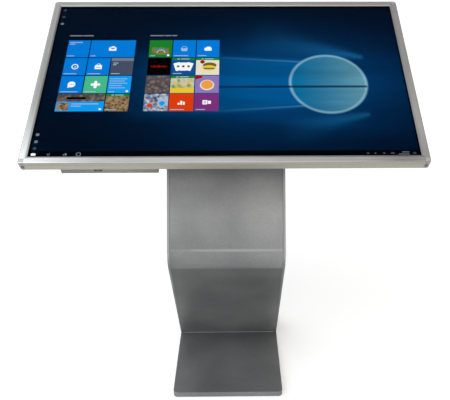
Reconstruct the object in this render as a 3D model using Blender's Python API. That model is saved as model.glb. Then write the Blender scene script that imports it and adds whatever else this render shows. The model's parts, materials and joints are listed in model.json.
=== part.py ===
"""Floor-standing touchscreen kiosk: a 55-inch landscape touch display on a K-shaped sheet-steel stand.

Metres, +Z up, +X to the right of a person who faces the screen, +Y away from that person. The origin is on
the floor, at the middle of the kiosk's footprint. Three local frames hold the parts: the head's, with its
local Z out of the screen; the lower leg's back, with its local Z out of that face; and the world, for
the base.
"""

from math import acos, atan2, cos, pi, radians, sin, tan

import bmesh
import bpy
from mathutils import Matrix, Vector

# ---------------------------------------------------------------- driving dimensions
SCREEN_WIDTH = 1.2096  # a 55-inch 16:9 panel
SCREEN_HEIGHT = 0.6804
SCREEN_TILT = radians(34.0)  # from horizontal
SCREEN_CENTRE_HEIGHT = 1.1242
BEZEL = 0.0265
HEAD_EDGE_DEPTH = 0.032
STAND_WIDTH = 0.400
BASE_DEPTH = 0.500
BASE_HEIGHT = 0.0225
BASE_FRONT_Y = -0.310
LEG_DEPTH = 0.090
KNEE_Y = -0.2690  # where the two front faces would meet without the round knee
KNEE_Z = 0.5465
KNEE_RADIUS = 0.078
LOWER_LEG_ANGLE = radians(59.0)  # both legs' angles are from horizontal
UPPER_LEG_ANGLE = radians(65.4)

# ---------------------------------------------------------------- sheet, fits and small sizes
GAP = 0.0003  # between pieces that touch
CUT = 0.01  # how far a cutter reaches past the piece it cuts
STEEL = 0.002
THIN_STEEL = 0.0012
SIDE_RIM = 0.008  # width of the side panels' folded edge
SEAM = 0.0009
RAIL_SKIN = 0.0018
RAIL_WALL = 0.0022
RAIL_ROUND = 0.0045
LIP_WIDTH = 0.0055  # the rail's inner edge slopes down to the glass
LIP_DROP = 0.0012
CAP_SIZE = 0.018
CAP_SCREW_INSET = 0.0127  # of the cap's screw, from the corner along X
CAP_SCREW_W = 0.0185  # and back from the front face
CAP_SCREW_RADIUS = 0.0027
CAP_SCREW_SHANK = 0.0014
CAP_RECESS_RADIUS = 0.0040
CAP_RECESS_DEPTH = 0.0026
GLASS_TOP = -0.0051  # local Z of the glass in the head's frame
GLASS_THICKNESS = 0.004
GLASS_OVERLAP = 0.008  # how far the glass runs under the rails
PANEL_THICKNESS = 0.012
PAN_BACK = -0.0775  # the back cover's outer face
FLANGE_THICKNESS = 0.004
KNEE_STEPS = 18

OUTER_X = SCREEN_WIDTH / 2 + BEZEL
OUTER_U = SCREEN_HEIGHT / 2 + BEZEL
# The rounded front edge lies a little behind a sharp one, and the head's back edge a little further back.
EDGE_SETBACK = RAIL_ROUND * (cos(SCREEN_TILT) + sin(SCREEN_TILT) - 1)
HEAD_Y = -(EDGE_SETBACK + HEAD_EDGE_DEPTH * sin(SCREEN_TILT)) / 2

# ---------------------------------------------------------------- in the head's frame: x, u up the screen
RAIL_X = 0.160  # the two mounting rails inside the head
BOLT_U = (-0.148, 0.068)
BOLT_RADIUS = 0.004
BOLT_HOLE = 0.0043
BOLT_END = -0.060
HEXAGON_RADIUS = 0.0075
HEXAGON_HEIGHT = 0.0055
WASHER_RADIUS = 0.0085
WASHER = 0.0016
CABLE_HOLE = ((-0.050, -0.075), (0.050, -0.015))
FAN_AT = (0.305, 0.150)
FAN_RADIUS = 0.0375
FAN_HALF = 0.040
FAN_DEPTH = 0.015
FAN_HUB = 0.018
FAN_BLADES = 7
BLADE_THICKNESS = 0.0011
BLADE_CORNERS = (
    (0.016, -0.004, 0.0010),
    (0.0355, -0.0085, 0.0015),
    (0.0355, 0.0085, 0.0100),
    (0.016, 0.004, 0.0095),
)
SPEAKER_AT = (0.40, -0.235)
PAN_HALF_X = 0.560
PAN_HALF_U = 0.300
IO_LEFT, IO_RIGHT = -0.517, -0.212
IO_MOUTH, IO_TOP = -0.3476, -0.3005
IO_FRONT, IO_BACK = -0.0338, -0.0818
FLAP_PIN = (-0.3452, -0.0793)
LATCH_X, LATCH_W = -0.400, -0.0655
BUTTON_X = -0.235
SOCKET_PANEL_U = -0.322
SOCKETS = ((-0.330, 0.0078, 0.0036), (-0.300, 0.0078, 0.0036), (-0.268, 0.0085, 0.0032))  # x, half sizes

# ---------------------------------------------------------------- on the lower leg's back: x, v up the leg
DOOR_HALF_X = 0.150
DOOR_LOW, DOOR_HIGH = 0.140, 0.500
DOOR_GAP = 0.0015
DOOR_FLANGE = 0.009
COLLAR_DEPTH = 0.0105
HINGE_X = DOOR_HALF_X + DOOR_GAP / 2
HINGE_N = 0.0045
HINGE_LOW, HINGE_HIGH = 0.170, 0.470
LOCK_X, LOCK_V = -0.130, 0.320
INLET_X, INLET_V = -0.085, 0.070
INLET_HALF = (0.030, 0.015)
INLET_FLANGE = 0.003
INLET_RIM = 0.002  # how far the flange stands out round the body
INLET_DEPTH = 0.022
SOCKET_DEPTH = 0.014
SOCKET_OUTLINE = (
    (-0.0122, -0.0083),
    (0.0122, -0.0083),
    (0.0122, 0.0035),
    (0.0075, 0.0083),
    (-0.0075, 0.0083),
    (-0.0122, 0.0035),
)
ROCKER_X = INLET_X - 0.0185
ROCKER_POCKET = (0.0070, 0.0098, 0.0066)  # half width, half height and depth
SOCKET_X = INLET_X + 0.0085

FOOT_X = 0.165
FOOT_INSET = 0.042

MATERIALS = {}


# ---------------------------------------------------------------- scene and mesh helpers
def clear_scene():
    for obj in list(bpy.data.objects):
        bpy.data.objects.remove(obj)


def material(name, colour, roughness, metallic=0.0):
    made = bpy.data.materials.new(name)
    made.use_nodes = True
    shader = made.node_tree.nodes["Principled BSDF"]
    shader.inputs["Base Color"].default_value = (*colour, 1.0)
    shader.inputs["Roughness"].default_value = roughness
    shader.inputs["Metallic"].default_value = metallic
    made.diffuse_color = (*colour, 1.0)
    MATERIALS[name] = made


def make_materials():
    material("brushed_aluminium", (0.63, 0.62, 0.61), 0.35, 1.0)
    material("grey_powder_coat", (0.20, 0.20, 0.205), 0.45, 0.3)
    material("zinc_steel", (0.55, 0.55, 0.56), 0.4, 1.0)
    material("black_plastic", (0.02, 0.02, 0.022), 0.4)
    material("silver_plastic", (0.50, 0.49, 0.48), 0.4, 0.4)
    material("screen_glass", (0.01, 0.02, 0.05), 0.08)
    material("circuit_board", (0.03, 0.16, 0.07), 0.5)
    material("rubber", (0.03, 0.03, 0.03), 0.8)


def frame_empty(name, matrix):
    empty = bpy.data.objects.new(name, None)
    bpy.context.scene.collection.objects.link(empty)
    empty.matrix_world = matrix
    return empty


def turned(columns, origin):
    """The matrix whose local X, Y and Z run along the given columns, with its origin there."""
    rotation = Matrix(columns).transposed().to_4x4()
    return Matrix.Translation(origin) @ rotation


def finish(name, mesh, finish_name=None, parent=None, at=(0, 0, 0), turn=None):
    """Links the bmesh as an object, with its normals outwards and its round faces smooth."""
    bmesh.ops.recalc_face_normals(mesh, faces=mesh.faces)
    data = bpy.data.meshes.new(name)
    mesh.to_mesh(data)
    mesh.free()
    obj = bpy.data.objects.new(name, data)
    bpy.context.scene.collection.objects.link(obj)
    obj.location = at
    if turn:
        obj.rotation_euler = turn
    obj.parent = parent
    if finish_name:
        data.materials.append(MATERIALS[finish_name])
        data.shade_smooth()
        data.set_sharp_from_angle(angle=radians(35))
    return obj


def tool(obj, mesh, operation):
    """Cuts the mesh out of obj, or joins it on. The helper object is hidden and shares obj's frame."""
    helper = finish(f"{obj.name}.tool{len(obj.modifiers)}", mesh)
    helper.parent = obj.parent
    helper.location = obj.location
    helper.rotation_euler = obj.rotation_euler
    helper.hide_render = True
    helper.display_type = "WIRE"
    modifier = obj.modifiers.new(operation.lower(), "BOOLEAN")
    modifier.operation = operation
    modifier.object = helper


def cut(obj, mesh):
    tool(obj, mesh, "DIFFERENCE")


def join(obj, mesh):
    tool(obj, mesh, "UNION")


def merged(*meshes):
    """One bmesh holding the shapes of several that don't touch, so that one Boolean takes them all."""
    whole = bmesh.new()
    for mesh in meshes:
        data = bpy.data.meshes.new("part")
        bmesh.ops.recalc_face_normals(mesh, faces=mesh.faces)
        mesh.to_mesh(data)
        whole.from_mesh(data)
        mesh.free()
        bpy.data.meshes.remove(data)
    return whole


def block(low, high):
    """A box between two corners."""
    mesh = bmesh.new()
    size = [b - a for a, b in zip(low, high)]
    middle = [(a + b) / 2 for a, b in zip(low, high)]
    bmesh.ops.create_cube(mesh, size=1.0)
    bmesh.ops.scale(mesh, vec=size, verts=mesh.verts)
    bmesh.ops.translate(mesh, vec=middle, verts=mesh.verts)
    return mesh


def placed(axis, a, b, c):
    """A point with c along the axis, and a and b along the other two in X, Y, Z order."""
    return {"X": (c, a, b), "Y": (a, c, b), "Z": (a, b, c)}[axis]


def prism(outline, low, high, axis="X"):
    """An outline, in the two directions across the axis, extruded from low to high along it."""
    mesh = bmesh.new()
    ends = [[mesh.verts.new(placed(axis, a, b, c)) for a, b in outline] for c in (low, high)]
    for end in ends:
        mesh.faces.new(end)
    count = len(outline)
    for i in range(count):
        after = (i + 1) % count
        mesh.faces.new((ends[0][i], ends[0][after], ends[1][after], ends[1][i]))
    return mesh


def arc(centre, radius, start, end, steps):
    """Points round a centre from one angle to another, both included."""
    angles = [start + (end - start) * i / steps for i in range(steps + 1)]
    return [(centre[0] + radius * cos(t), centre[1] + radius * sin(t)) for t in angles]


def circle(centre, radius, sides):
    return arc(centre, radius, 0, 2 * pi * (sides - 1) / sides, sides - 1)


def cylinder(centre, radius, low, high, axis="Z", sides=24):
    return prism(circle(centre, radius, sides), low, high, axis)


def rounded_rectangle(low, high, radius, steps=5):
    """A rectangle's outline with round corners, anticlockwise from the lower right."""
    (x0, y0), (x1, y1) = low, high
    corners = ((x1, y0, -pi / 2), (x1, y1, 0), (x0, y1, pi / 2), (x0, y0, pi))
    outline = []
    for x, y, start in corners:
        inner = (x - radius if x == x1 else x + radius, y - radius if y == y1 else y + radius)
        outline += arc(inner, radius, start, start + pi / 2, steps)
    return outline


def soften(mesh, wanted, width, steps=2):
    """Bevels the edges that the test picks by their two ends."""
    edges = [e for e in mesh.edges if wanted(*(v.co for v in e.verts))]
    bmesh.ops.bevel(mesh, geom=edges, offset=width, segments=steps, profile=0.5, affect="EDGES")
    return mesh


def all_at(index, value):
    """A test for soften: both ends of the edge lie at this coordinate."""
    return lambda a, b: abs(a[index] - value) < 1e-6 and abs(b[index] - value) < 1e-6


def everywhere(a, b):
    return True


# ---------------------------------------------------------------- the stand's side profile
def direction(angle):
    return Vector((cos(angle), sin(angle)))


def crossing(p, d, q, e):
    """Where the line through p along d meets the line through q along e."""
    determinant = d.x * e.y - d.y * e.x
    reach = ((q.x - p.x) * e.y - (q.y - p.y) * e.x) / determinant
    return p + d * reach


KNEE = Vector((KNEE_Y, KNEE_Z))
UP_UPPER = direction(UPPER_LEG_ANGLE)
UP_LOWER = direction(pi - LOWER_LEG_ANGLE)
INTO_UPPER = direction(UPPER_LEG_ANGLE - pi / 2)  # from a front face into the leg
INTO_LOWER = direction(pi / 2 - LOWER_LEG_ANGLE)
UP_SCREEN = direction(SCREEN_TILT)
INTO_HEAD = -direction(SCREEN_TILT + pi / 2)
HEAD_CENTRE = Vector((HEAD_Y, SCREEN_CENTRE_HEIGHT))
LEG_TOP = HEAD_CENTRE + INTO_HEAD * (-PAN_BACK + FLANGE_THICKNESS + 2 * GAP)
FLOOR_LINE = Vector((0, BASE_HEIGHT + GAP))
LEVEL = Vector((1, 0))
KNEE_TURN = pi - UPPER_LEG_ANGLE - LOWER_LEG_ANGLE
KNEE_CENTRE = crossing(
    KNEE + INTO_UPPER * KNEE_RADIUS, UP_UPPER, KNEE + INTO_LOWER * KNEE_RADIUS, UP_LOWER
)


def knee_arc(inset):
    """The round front of the knee, from the lower leg's face to the upper leg's."""
    start = atan2(-INTO_LOWER.y, -INTO_LOWER.x)
    points = arc(KNEE_CENTRE, KNEE_RADIUS - inset, start, start - KNEE_TURN, KNEE_STEPS)
    return [Vector(p) for p in points]


def front_point(inset, top):
    """The foot or the top of the front face, inset from the faces beside it."""
    if top:
        side, along = KNEE + INTO_UPPER * inset, UP_UPPER
        return crossing(side, along, LEG_TOP + INTO_HEAD * inset, UP_SCREEN)
    side, along = KNEE + INTO_LOWER * inset, UP_LOWER
    return crossing(side, along, FLOOR_LINE + Vector((0, inset)), LEVEL)


def back_point(inset, top):
    depth = LEG_DEPTH - inset
    if top:
        side, along = KNEE + INTO_UPPER * depth, UP_UPPER
        return crossing(side, along, LEG_TOP + INTO_HEAD * inset, UP_SCREEN)
    side, along = KNEE + INTO_LOWER * depth, UP_LOWER
    return crossing(side, along, FLOOR_LINE + Vector((0, inset)), LEVEL)


def back_knee(inset):
    depth = LEG_DEPTH - inset
    return crossing(KNEE + INTO_UPPER * depth, UP_UPPER, KNEE + INTO_LOWER * depth, UP_LOWER)


def leg_outline(inset):
    """The whole stand from the side, each edge moved inwards by the inset."""
    return [
        front_point(inset, False),
        *knee_arc(inset),
        front_point(inset, True),
        back_point(inset, True),
        back_knee(inset),
        back_point(inset, False),
    ]


# ---------------------------------------------------------------- base
def base_cover():
    low, high = (-STAND_WIDTH / 2, BASE_FRONT_Y), (STAND_WIDTH / 2, BASE_FRONT_Y + BASE_DEPTH)
    outer = prism(rounded_rectangle(low, high, 0.015), 0.002, BASE_HEIGHT, "Z")
    soften(outer, all_at(2, BASE_HEIGHT), 0.003, 3)
    cover = finish("base_cover", outer, "grey_powder_coat")
    inner_low = [c + STEEL for c in low]
    inner_high = [c - STEEL for c in high]
    hollow = rounded_rectangle(inner_low, inner_high, 0.013)
    cut(cover, prism(hollow, -0.01, BASE_HEIGHT - STEEL, "Z"))


def foot_places():
    rear = BASE_FRONT_Y + BASE_DEPTH - FOOT_INSET
    front = BASE_FRONT_Y + FOOT_INSET
    return {
        "front_left": (-FOOT_X, front),
        "front_right": (FOOT_X, front),
        "rear_left": (-FOOT_X, rear),
        "rear_right": (FOOT_X, rear),
    }


def base_plate():
    """The heavy plate under the cover, which keeps the kiosk from tipping and takes the feet's threads."""
    inset = STEEL + 0.0012
    low = (-STAND_WIDTH / 2 + inset, BASE_FRONT_Y + inset)
    high = (STAND_WIDTH / 2 - inset, BASE_FRONT_Y + BASE_DEPTH - inset)
    plate = finish(
        "base_plate", prism(rounded_rectangle(low, high, 0.0115), 0.0066, 0.0166, "Z"), "zinc_steel"
    )
    holes = [cylinder(at, 0.0044, 0.0, 0.03, sides=16) for at in foot_places().values()]
    cut(plate, merged(*holes))


def levelling_feet():
    """Each foot is a steel stud with its pad moulded on. Its origin is on the floor, under its thread."""
    for name, at in foot_places().items():
        pad = bmesh.new()
        bmesh.ops.create_cone(
            pad, cap_ends=True, segments=24, radius1=0.017, radius2=0.0145, depth=0.0042
        )
        bmesh.ops.translate(pad, vec=(0, 0, 0.0021), verts=pad.verts)
        foot = finish(f"levelling_foot_{name}", pad, "rubber", at=(*at, 0))
        join(foot, cylinder((0, 0), 0.0075, 0.0035, 0.0063, sides=6))
        join(foot, cylinder((0, 0), 0.004, 0.0052, 0.0198, sides=16))


# ---------------------------------------------------------------- column
def column_side(name, sign):
    """A side panel: a 2 mm web with its edge folded in all round."""
    outer = STAND_WIDTH / 2
    low, high = sorted((sign * outer, sign * (outer - SIDE_RIM)))
    panel = finish(name, prism(leg_outline(0), low, high), "grey_powder_coat")
    web = sign * (outer - STEEL)
    past = sign * (outer - 2 * SIDE_RIM)
    cut(panel, prism(leg_outline(STEEL), *sorted((web, past))))


def column_front_skin():
    """One sheet from the foot, round the knee, to the head."""
    half = STAND_WIDTH / 2 - SIDE_RIM - SEAM
    outer = [front_point(0, False), *knee_arc(0), front_point(0, True)]
    inner = [front_point(STEEL, False), *knee_arc(STEEL), front_point(STEEL, True)]
    inner[0] = crossing(inner[0], UP_LOWER, FLOOR_LINE, LEVEL)
    inner[-1] = crossing(inner[-1], UP_UPPER, LEG_TOP, UP_SCREEN)
    finish("column_front_skin", prism(outer + inner[::-1], -half, half), "grey_powder_coat")


def column_back_upper():
    half = STAND_WIDTH / 2 - SIDE_RIM - SEAM
    clear = UP_UPPER * 0.0006
    low = back_knee(0) + clear
    low_inner = crossing(back_knee(STEEL), UP_UPPER, low, low - back_knee(STEEL))
    high_inner = crossing(back_knee(STEEL), UP_UPPER, LEG_TOP, UP_SCREEN)
    outline = [low, back_point(0, True), high_inner, low_inner + clear]
    finish("column_back_upper", prism(outline, -half, half), "grey_powder_coat")


def foot_flange():
    """The plate inside the column's foot that bolts through the cover to the base plate."""
    depth = 0.006
    low = BASE_HEIGHT + 2 * GAP
    front = front_point(STEEL + 0.0006, False)
    front = crossing(front, UP_LOWER, Vector((0, low)), LEVEL)
    rear = crossing(back_point(STEEL + 0.0006, False), UP_LOWER, Vector((0, low)), LEVEL)
    slope = UP_LOWER * (depth / UP_LOWER.y)
    outline = [front, rear, rear + slope, front + slope]
    half = STAND_WIDTH / 2 - SIDE_RIM - GAP
    plate = finish("column_foot_flange", prism(outline, -half, half), "zinc_steel")
    middle = (front.x + rear.x) / 2
    holes = [cylinder((x, middle), 0.0055, 0, 0.05, sides=16) for x in (-0.15, -0.06, 0.06, 0.15)]
    cut(plate, merged(*holes))


def knee_stiffener():
    """A web across the column behind the knee, with a hole for the wiring."""
    back = back_knee(STEEL + 0.001)
    front = KNEE_CENTRE + (KNEE_CENTRE - back).normalized() * (KNEE_RADIUS - STEEL - 0.001)
    across = (back - front).normalized()
    up = Vector((-across.y, across.x)) * (STEEL / 2)
    half = STAND_WIDTH / 2 - SIDE_RIM - GAP
    outline = [front - up, back - up, back + up, front + up]
    web = finish("knee_stiffener", prism(outline, -half, half), "zinc_steel")
    middle = (front + back) / 2
    slot = rounded_rectangle((-0.06, middle.x - 0.018), (0.06, middle.x + 0.018), 0.01, 4)
    cut(web, prism(slot, middle.y - 0.05, middle.y + 0.05, "Z"))


# ---------------------------------------------------------------- back of the lower leg
def back_lower_skin(leg):
    """The lower leg's back, with a flanged opening for the service door and a cut-out for the inlet."""
    half = STAND_WIDTH / 2 - SIDE_RIM - SEAM
    length = (back_knee(0) - back_point(0, False)).length
    # The sheet's ends are cut level with the base and along the knee's mitre.
    foot_slope = STEEL / tan(LOWER_LEG_ANGLE)
    knee_slope = STEEL * tan(KNEE_TURN / 2)
    outline = [
        (0, 0),
        (length - 0.0006, 0),
        (length - 0.0006 + knee_slope, -STEEL),
        (foot_slope, -STEEL),
    ]
    skin = finish("column_back_lower", prism(outline, -half, half), "grey_powder_coat", leg)
    edge = DOOR_HALF_X + DOOR_GAP
    low, high = DOOR_LOW - DOOR_GAP, DOOR_HIGH + DOOR_GAP
    wall = STEEL
    join(
        skin, block((-edge - wall, low - wall, -COLLAR_DEPTH), (edge + wall, high + wall, -STEEL / 2))
    )
    cut(skin, block((-edge, low, -0.05), (edge, high, 0.05)))
    clear = 0.0006
    inlet = [INLET_HALF[0] - 0.002 + clear, INLET_HALF[1] - 0.002 + clear]
    cut(
        skin,
        block(
            (INLET_X - inlet[0], INLET_V - inlet[1], -0.02),
            (INLET_X + inlet[0], INLET_V + inlet[1], 0.02),
        ),
    )


def rear_door(hinge):
    """A pan-shaped door. Its frame is the hinge's, so that it turns about the pin."""
    left, right = -DOOR_HALF_X - HINGE_X, DOOR_HALF_X - HINGE_X
    outer = block((left, DOOR_LOW, -DOOR_FLANGE - HINGE_N), (right, DOOR_HIGH, -HINGE_N))
    soften(outer, all_at(2, -HINGE_N), 0.0008, 1)
    door = finish("rear_door", outer, "grey_powder_coat", hinge)
    cut(
        door,
        block(
            (left + STEEL, DOOR_LOW + STEEL, -0.05),
            (right - STEEL, DOOR_HIGH - STEEL, -STEEL - HINGE_N),
        ),
    )
    cut(door, cylinder((LOCK_X - HINGE_X, LOCK_V), 0.0089, -0.02, 0.01))


def hinge_leaf(name, hinge, side, own, bands):
    """One leaf of the door's hinge: a plate with the knuckles in its own bands."""
    radius, root, plate_end = 0.004, 0.0044, 0.0245
    thin = (-HINGE_N + GAP, -HINGE_N + GAP + 0.0015)

    def span(near, far):
        return sorted((side * near, side * far))

    near, far = span(root, plate_end)
    low, high = bands[0][0], bands[-1][1]
    leaf = finish(name, block((near, low, thin[0]), (far, high, thin[1])), "zinc_steel", hinge)
    parts = []
    for start, end in own:
        bridge_near, bridge_far = span(0.001, root + 0.001)
        parts.append(block((bridge_near, start, thin[0]), (bridge_far, end, thin[1])))
    join(leaf, merged(*parts))
    knuckles = [cylinder((0, 0), radius, start, end, "Y", 20) for start, end in own]
    join(leaf, merged(*knuckles))
    cut(leaf, cylinder((0, 0), 0.0023, low - 0.01, high + 0.01, "Y", 16))


def door_hinge(hinge):
    count = 5
    step = (HINGE_HIGH - HINGE_LOW) / count
    bands = [
        (HINGE_LOW + i * step + GAP, HINGE_LOW + (i + 1) * step - GAP) for i in range(count)
    ]
    hinge_leaf("door_hinge_fixed_leaf", hinge, 1, bands[0::2], bands)
    hinge_leaf("door_hinge_moving_leaf", hinge, -1, bands[1::2], bands)
    finish(
        "door_hinge_pin",
        cylinder((0, 0), 0.002, HINGE_LOW - 0.001, HINGE_HIGH + 0.001, "Y", 16),
        "zinc_steel",
        hinge,
    )


def door_lock(lock):
    """A cam lock. Its frame's Z runs along the key."""
    body = finish("door_lock_body", cylinder((0, 0), 0.0085, -0.0108, 0.0025), "zinc_steel", lock)
    join(body, soften(cylinder((0, 0), 0.0112, GAP, 0.0024), all_at(2, 0.0024), 0.0007, 2))
    cut(body, cylinder((0, 0), 0.0056, -0.03, 0.03))
    plug = finish("door_lock_plug", cylinder((0, 0), 0.0053, -0.0112, 0.0029), "zinc_steel", lock)
    cut(plug, block((-0.0032, -0.0006, -0.002), (0.0032, 0.0006, 0.01)))
    tongue = rounded_rectangle((-0.0075, -0.0075), (0.0075, 0.033), 0.006, 4)
    finish("door_lock_cam", prism(tongue, -0.0135, -0.0115, "Z"), "zinc_steel", lock)


def power_inlet(leg):
    """A fused mains inlet with its switch's pocket beside the socket, in one moulding."""
    half_x, half_v = INLET_HALF
    flange = block(
        (INLET_X - half_x, INLET_V - half_v, GAP), (INLET_X + half_x, INLET_V + half_v, INLET_FLANGE)
    )
    soften(flange, all_at(2, INLET_FLANGE), 0.001, 2)
    inlet = finish("power_inlet", flange, "black_plastic", leg)
    body_x, body_v = half_x - INLET_RIM, half_v - INLET_RIM
    low, high = (INLET_X - body_x, INLET_V - body_v), (INLET_X + body_x, INLET_V + body_v)
    join(inlet, block((*low, -INLET_DEPTH), (*high, 0.001)))
    socket = [(SOCKET_X + a, INLET_V + b) for a, b in SOCKET_OUTLINE]
    cut(inlet, prism(socket, -SOCKET_DEPTH, CUT, "Z"))
    pocket_x, pocket_v, depth = ROCKER_POCKET
    low, high = (ROCKER_X - pocket_x, INLET_V - pocket_v), (ROCKER_X + pocket_x, INLET_V + pocket_v)
    cut(inlet, block((*low, -depth), (*high, CUT)))


def power_rocker(rocker):
    """The switch's rocker, a shallow V that turns about its own middle."""
    profile = [
        (-0.006, -0.0025),
        (0.006, -0.0025),
        (0.0082, 0.0),
        (0.0084, 0.0045),
        (0.0, 0.0032),
        (-0.0084, 0.0045),
        (-0.0082, 0.0),
    ]
    mesh = prism(profile, -0.0064, 0.0064)
    soften(mesh, lambda a, b: a.z > 0.003 and b.z > 0.003 and abs(a.x - b.x) < 1e-6, 0.0004, 1)
    finish("power_rocker", mesh, "black_plastic", rocker)


# ---------------------------------------------------------------- head: frame, glass and panel
def rail_profile():
    """The rail's section: outwards from the screen's edge, and up out of the screen."""
    back = -HEAD_EDGE_DEPTH
    corner = (BEZEL - RAIL_ROUND, -RAIL_ROUND)
    groove = 0.0007
    return [
        (0, -RAIL_SKIN),
        (0, -LIP_DROP),
        (LIP_WIDTH, 0),
        (BEZEL - CAP_SIZE, 0),
        *arc(corner, RAIL_ROUND, pi / 2, 0, 5),
        (BEZEL, -0.0090),
        (BEZEL - groove, -0.0095),
        (BEZEL - groove, -0.0105),
        (BEZEL, -0.0110),
        (BEZEL, back),
        (0.0125, back),
        (0.0125, back + RAIL_SKIN),
        (BEZEL - RAIL_WALL, back + RAIL_SKIN),
        (BEZEL - RAIL_WALL, -RAIL_SKIN),
        (BEZEL - CAP_SIZE, -RAIL_SKIN),
    ]


def frame_rail(name, head, half_opening, edge, along_x, sign):
    """A rail from corner to corner. Its lip is mitred, and the rest stops square at the corner cap."""
    profile = rail_profile()
    shoulder = BEZEL - CAP_SIZE
    mesh = bmesh.new()

    def point(p, w, end):
        reach = end * (half_opening + min(p, shoulder) - GAP)
        across = sign * (edge + p)
        return (reach, across, w) if along_x else (across, reach, w)

    ends = [[mesh.verts.new(point(p, w, end)) for p, w in profile] for end in (-1, 1)]
    lip = [0, 1, 2, 3, len(profile) - 1]
    for end in ends:
        mesh.faces.new([end[i] for i in lip])
        mesh.faces.new(end[3:])
    for i in range(len(profile)):
        after = (i + 1) % len(profile)
        mesh.faces.new((ends[0][i], ends[0][after], ends[1][after], ends[1][i]))
    finish(name, mesh, "brushed_aluminium", head)


def corner_cap(name, head, sx, su):
    """A moulded cap over the corner, hollow from behind, with a countersink for its screw."""
    size = CAP_SIZE - GAP
    back = -HEAD_EDGE_DEPTH
    mesh = block((-size, -size, back), (0, 0, 0))
    soften(mesh, lambda a, b: all(abs(v.x) < 1e-6 and abs(v.y) < 1e-6 for v in (a, b)), 0.010, 6)

    def outer_top(a, b):
        on_top = abs(a.z) < 1e-6 and abs(b.z) < 1e-6
        inner = all(abs(v.x + size) < 1e-6 for v in (a, b)) or all(abs(v.y + size) < 1e-6 for v in (a, b))
        return on_top and not inner

    soften(mesh, outer_top, RAIL_ROUND, 4)
    bmesh.ops.scale(mesh, vec=(sx, su, 1), verts=mesh.verts)
    at = (sx * OUTER_X, su * OUTER_U, 0)
    cap = finish(name, mesh, "silver_plastic", head, at)
    pocket = block((-size - CUT, -size - CUT, back - CUT), (-0.0075, -0.0075, -0.0055))
    bmesh.ops.scale(pocket, vec=(sx, su, 1), verts=pocket.verts)
    cut(cap, pocket)
    screw_at = (-CAP_SCREW_INSET * sx, -CAP_SCREW_W)
    low, high = sorted((-CAP_RECESS_DEPTH * su, CUT * su))
    cut(cap, cylinder(screw_at, CAP_RECESS_RADIUS, low, high, "Y", 20))
    cut(cap, cylinder(screw_at, CAP_SCREW_SHANK + 0.0004, -0.012, 0.012, "Y", 12))
    corner_screw(name.replace("cap", "screw"), head, at, screw_at, su)


def corner_screw(name, head, at, screw_at, su):
    """The cap's screw: a head sunk in the cap's end, a shank and a hexagon socket."""

    def length(radius, start, end, sides):
        low, high = sorted((start * su, end * su))
        return cylinder(screw_at, radius, low, high, "Y", sides)

    seat = -CAP_RECESS_DEPTH + GAP
    top = seat + 0.0017
    screw = finish(name, length(CAP_SCREW_RADIUS, seat, top, 20), "zinc_steel", head, at)
    join(screw, length(CAP_SCREW_SHANK, -0.0110, seat + GAP, 12))
    cut(screw, length(0.0012, top - 0.0008, CUT, 6))


def frame(head):
    half_w, half_h = SCREEN_WIDTH / 2, SCREEN_HEIGHT / 2
    frame_rail("frame_rail_top", head, half_w, half_h, True, 1)
    frame_rail("frame_rail_bottom", head, half_w, half_h, True, -1)
    frame_rail("frame_rail_left", head, half_h, half_w, False, -1)
    frame_rail("frame_rail_right", head, half_h, half_w, False, 1)
    for vertical, su in (("top", 1), ("bottom", -1)):
        for side, sx in (("left", -1), ("right", 1)):
            corner_cap(f"corner_cap_{vertical}_{side}", head, sx, su)


def slab(name, head, finish_name, overlap, low, high, soft=0.0005):
    half_x, half_u = SCREEN_WIDTH / 2 + overlap, SCREEN_HEIGHT / 2 + overlap
    mesh = block((-half_x, -half_u, low), (half_x, half_u, high))
    return finish(name, soften(mesh, everywhere, soft, 1), finish_name, head)


def screen_stack(head):
    slab("touch_glass", head, "screen_glass", GLASS_OVERLAP, GLASS_TOP - GLASS_THICKNESS, GLASS_TOP)
    panel_top = GLASS_TOP - GLASS_THICKNESS - GAP
    slab("lcd_panel", head, "black_plastic", 0.006, panel_top - PANEL_THICKNESS, panel_top, 0.001)
    # The infrared touch sensor is a ring of boards and filters on the glass, under the rails' lip.
    low, high = GLASS_TOP + GAP, -RAIL_SKIN - GAP
    outer = (SCREEN_WIDTH / 2 + GLASS_OVERLAP, SCREEN_HEIGHT / 2 + GLASS_OVERLAP)
    inner = (SCREEN_WIDTH / 2 + 0.0008, SCREEN_HEIGHT / 2 + 0.0008)
    ring = finish(
        "ir_touch_frame",
        block((-outer[0], -outer[1], low), (outer[0], outer[1], high)),
        "black_plastic",
        head,
    )
    cut(ring, block((-inner[0], -inner[1], low - 0.01), (inner[0], inner[1], high + 0.01)))


# ---------------------------------------------------------------- head: back cover and what it holds
def frustum(low, high, shrink, base, top):
    """A box whose far end is smaller all round."""
    mesh = bmesh.new()
    rings = []
    for inset, w in ((0, base), (shrink, top)):
        corners = (
            (low[0] + inset, low[1] + inset),
            (high[0] - inset, low[1] + inset),
            (high[0] - inset, high[1] - inset),
            (low[0] + inset, high[1] - inset),
        )
        rings.append([mesh.verts.new((x, u, w)) for x, u in corners])
    for ring in rings:
        mesh.faces.new(ring)
    for i in range(4):
        after = (i + 1) % 4
        mesh.faces.new((rings[0][i], rings[0][after], rings[1][after], rings[1][i]))
    return mesh


def slot_rows(centre, count, pitch, length, width):
    """A group of vent slots through the back cover, one above another."""
    x, u = centre
    slots = []
    for i in range(count):
        at = u + (i - (count - 1) / 2) * pitch
        slots.append(
            block(
                (x - length / 2, at - width / 2, PAN_BACK - 0.01),
                (x + length / 2, at + width / 2, PAN_BACK + 0.01),
            )
        )
    return slots


def bolt_places():
    return [(x, u) for u in BOLT_U for x in (-RAIL_X, RAIL_X)]


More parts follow.
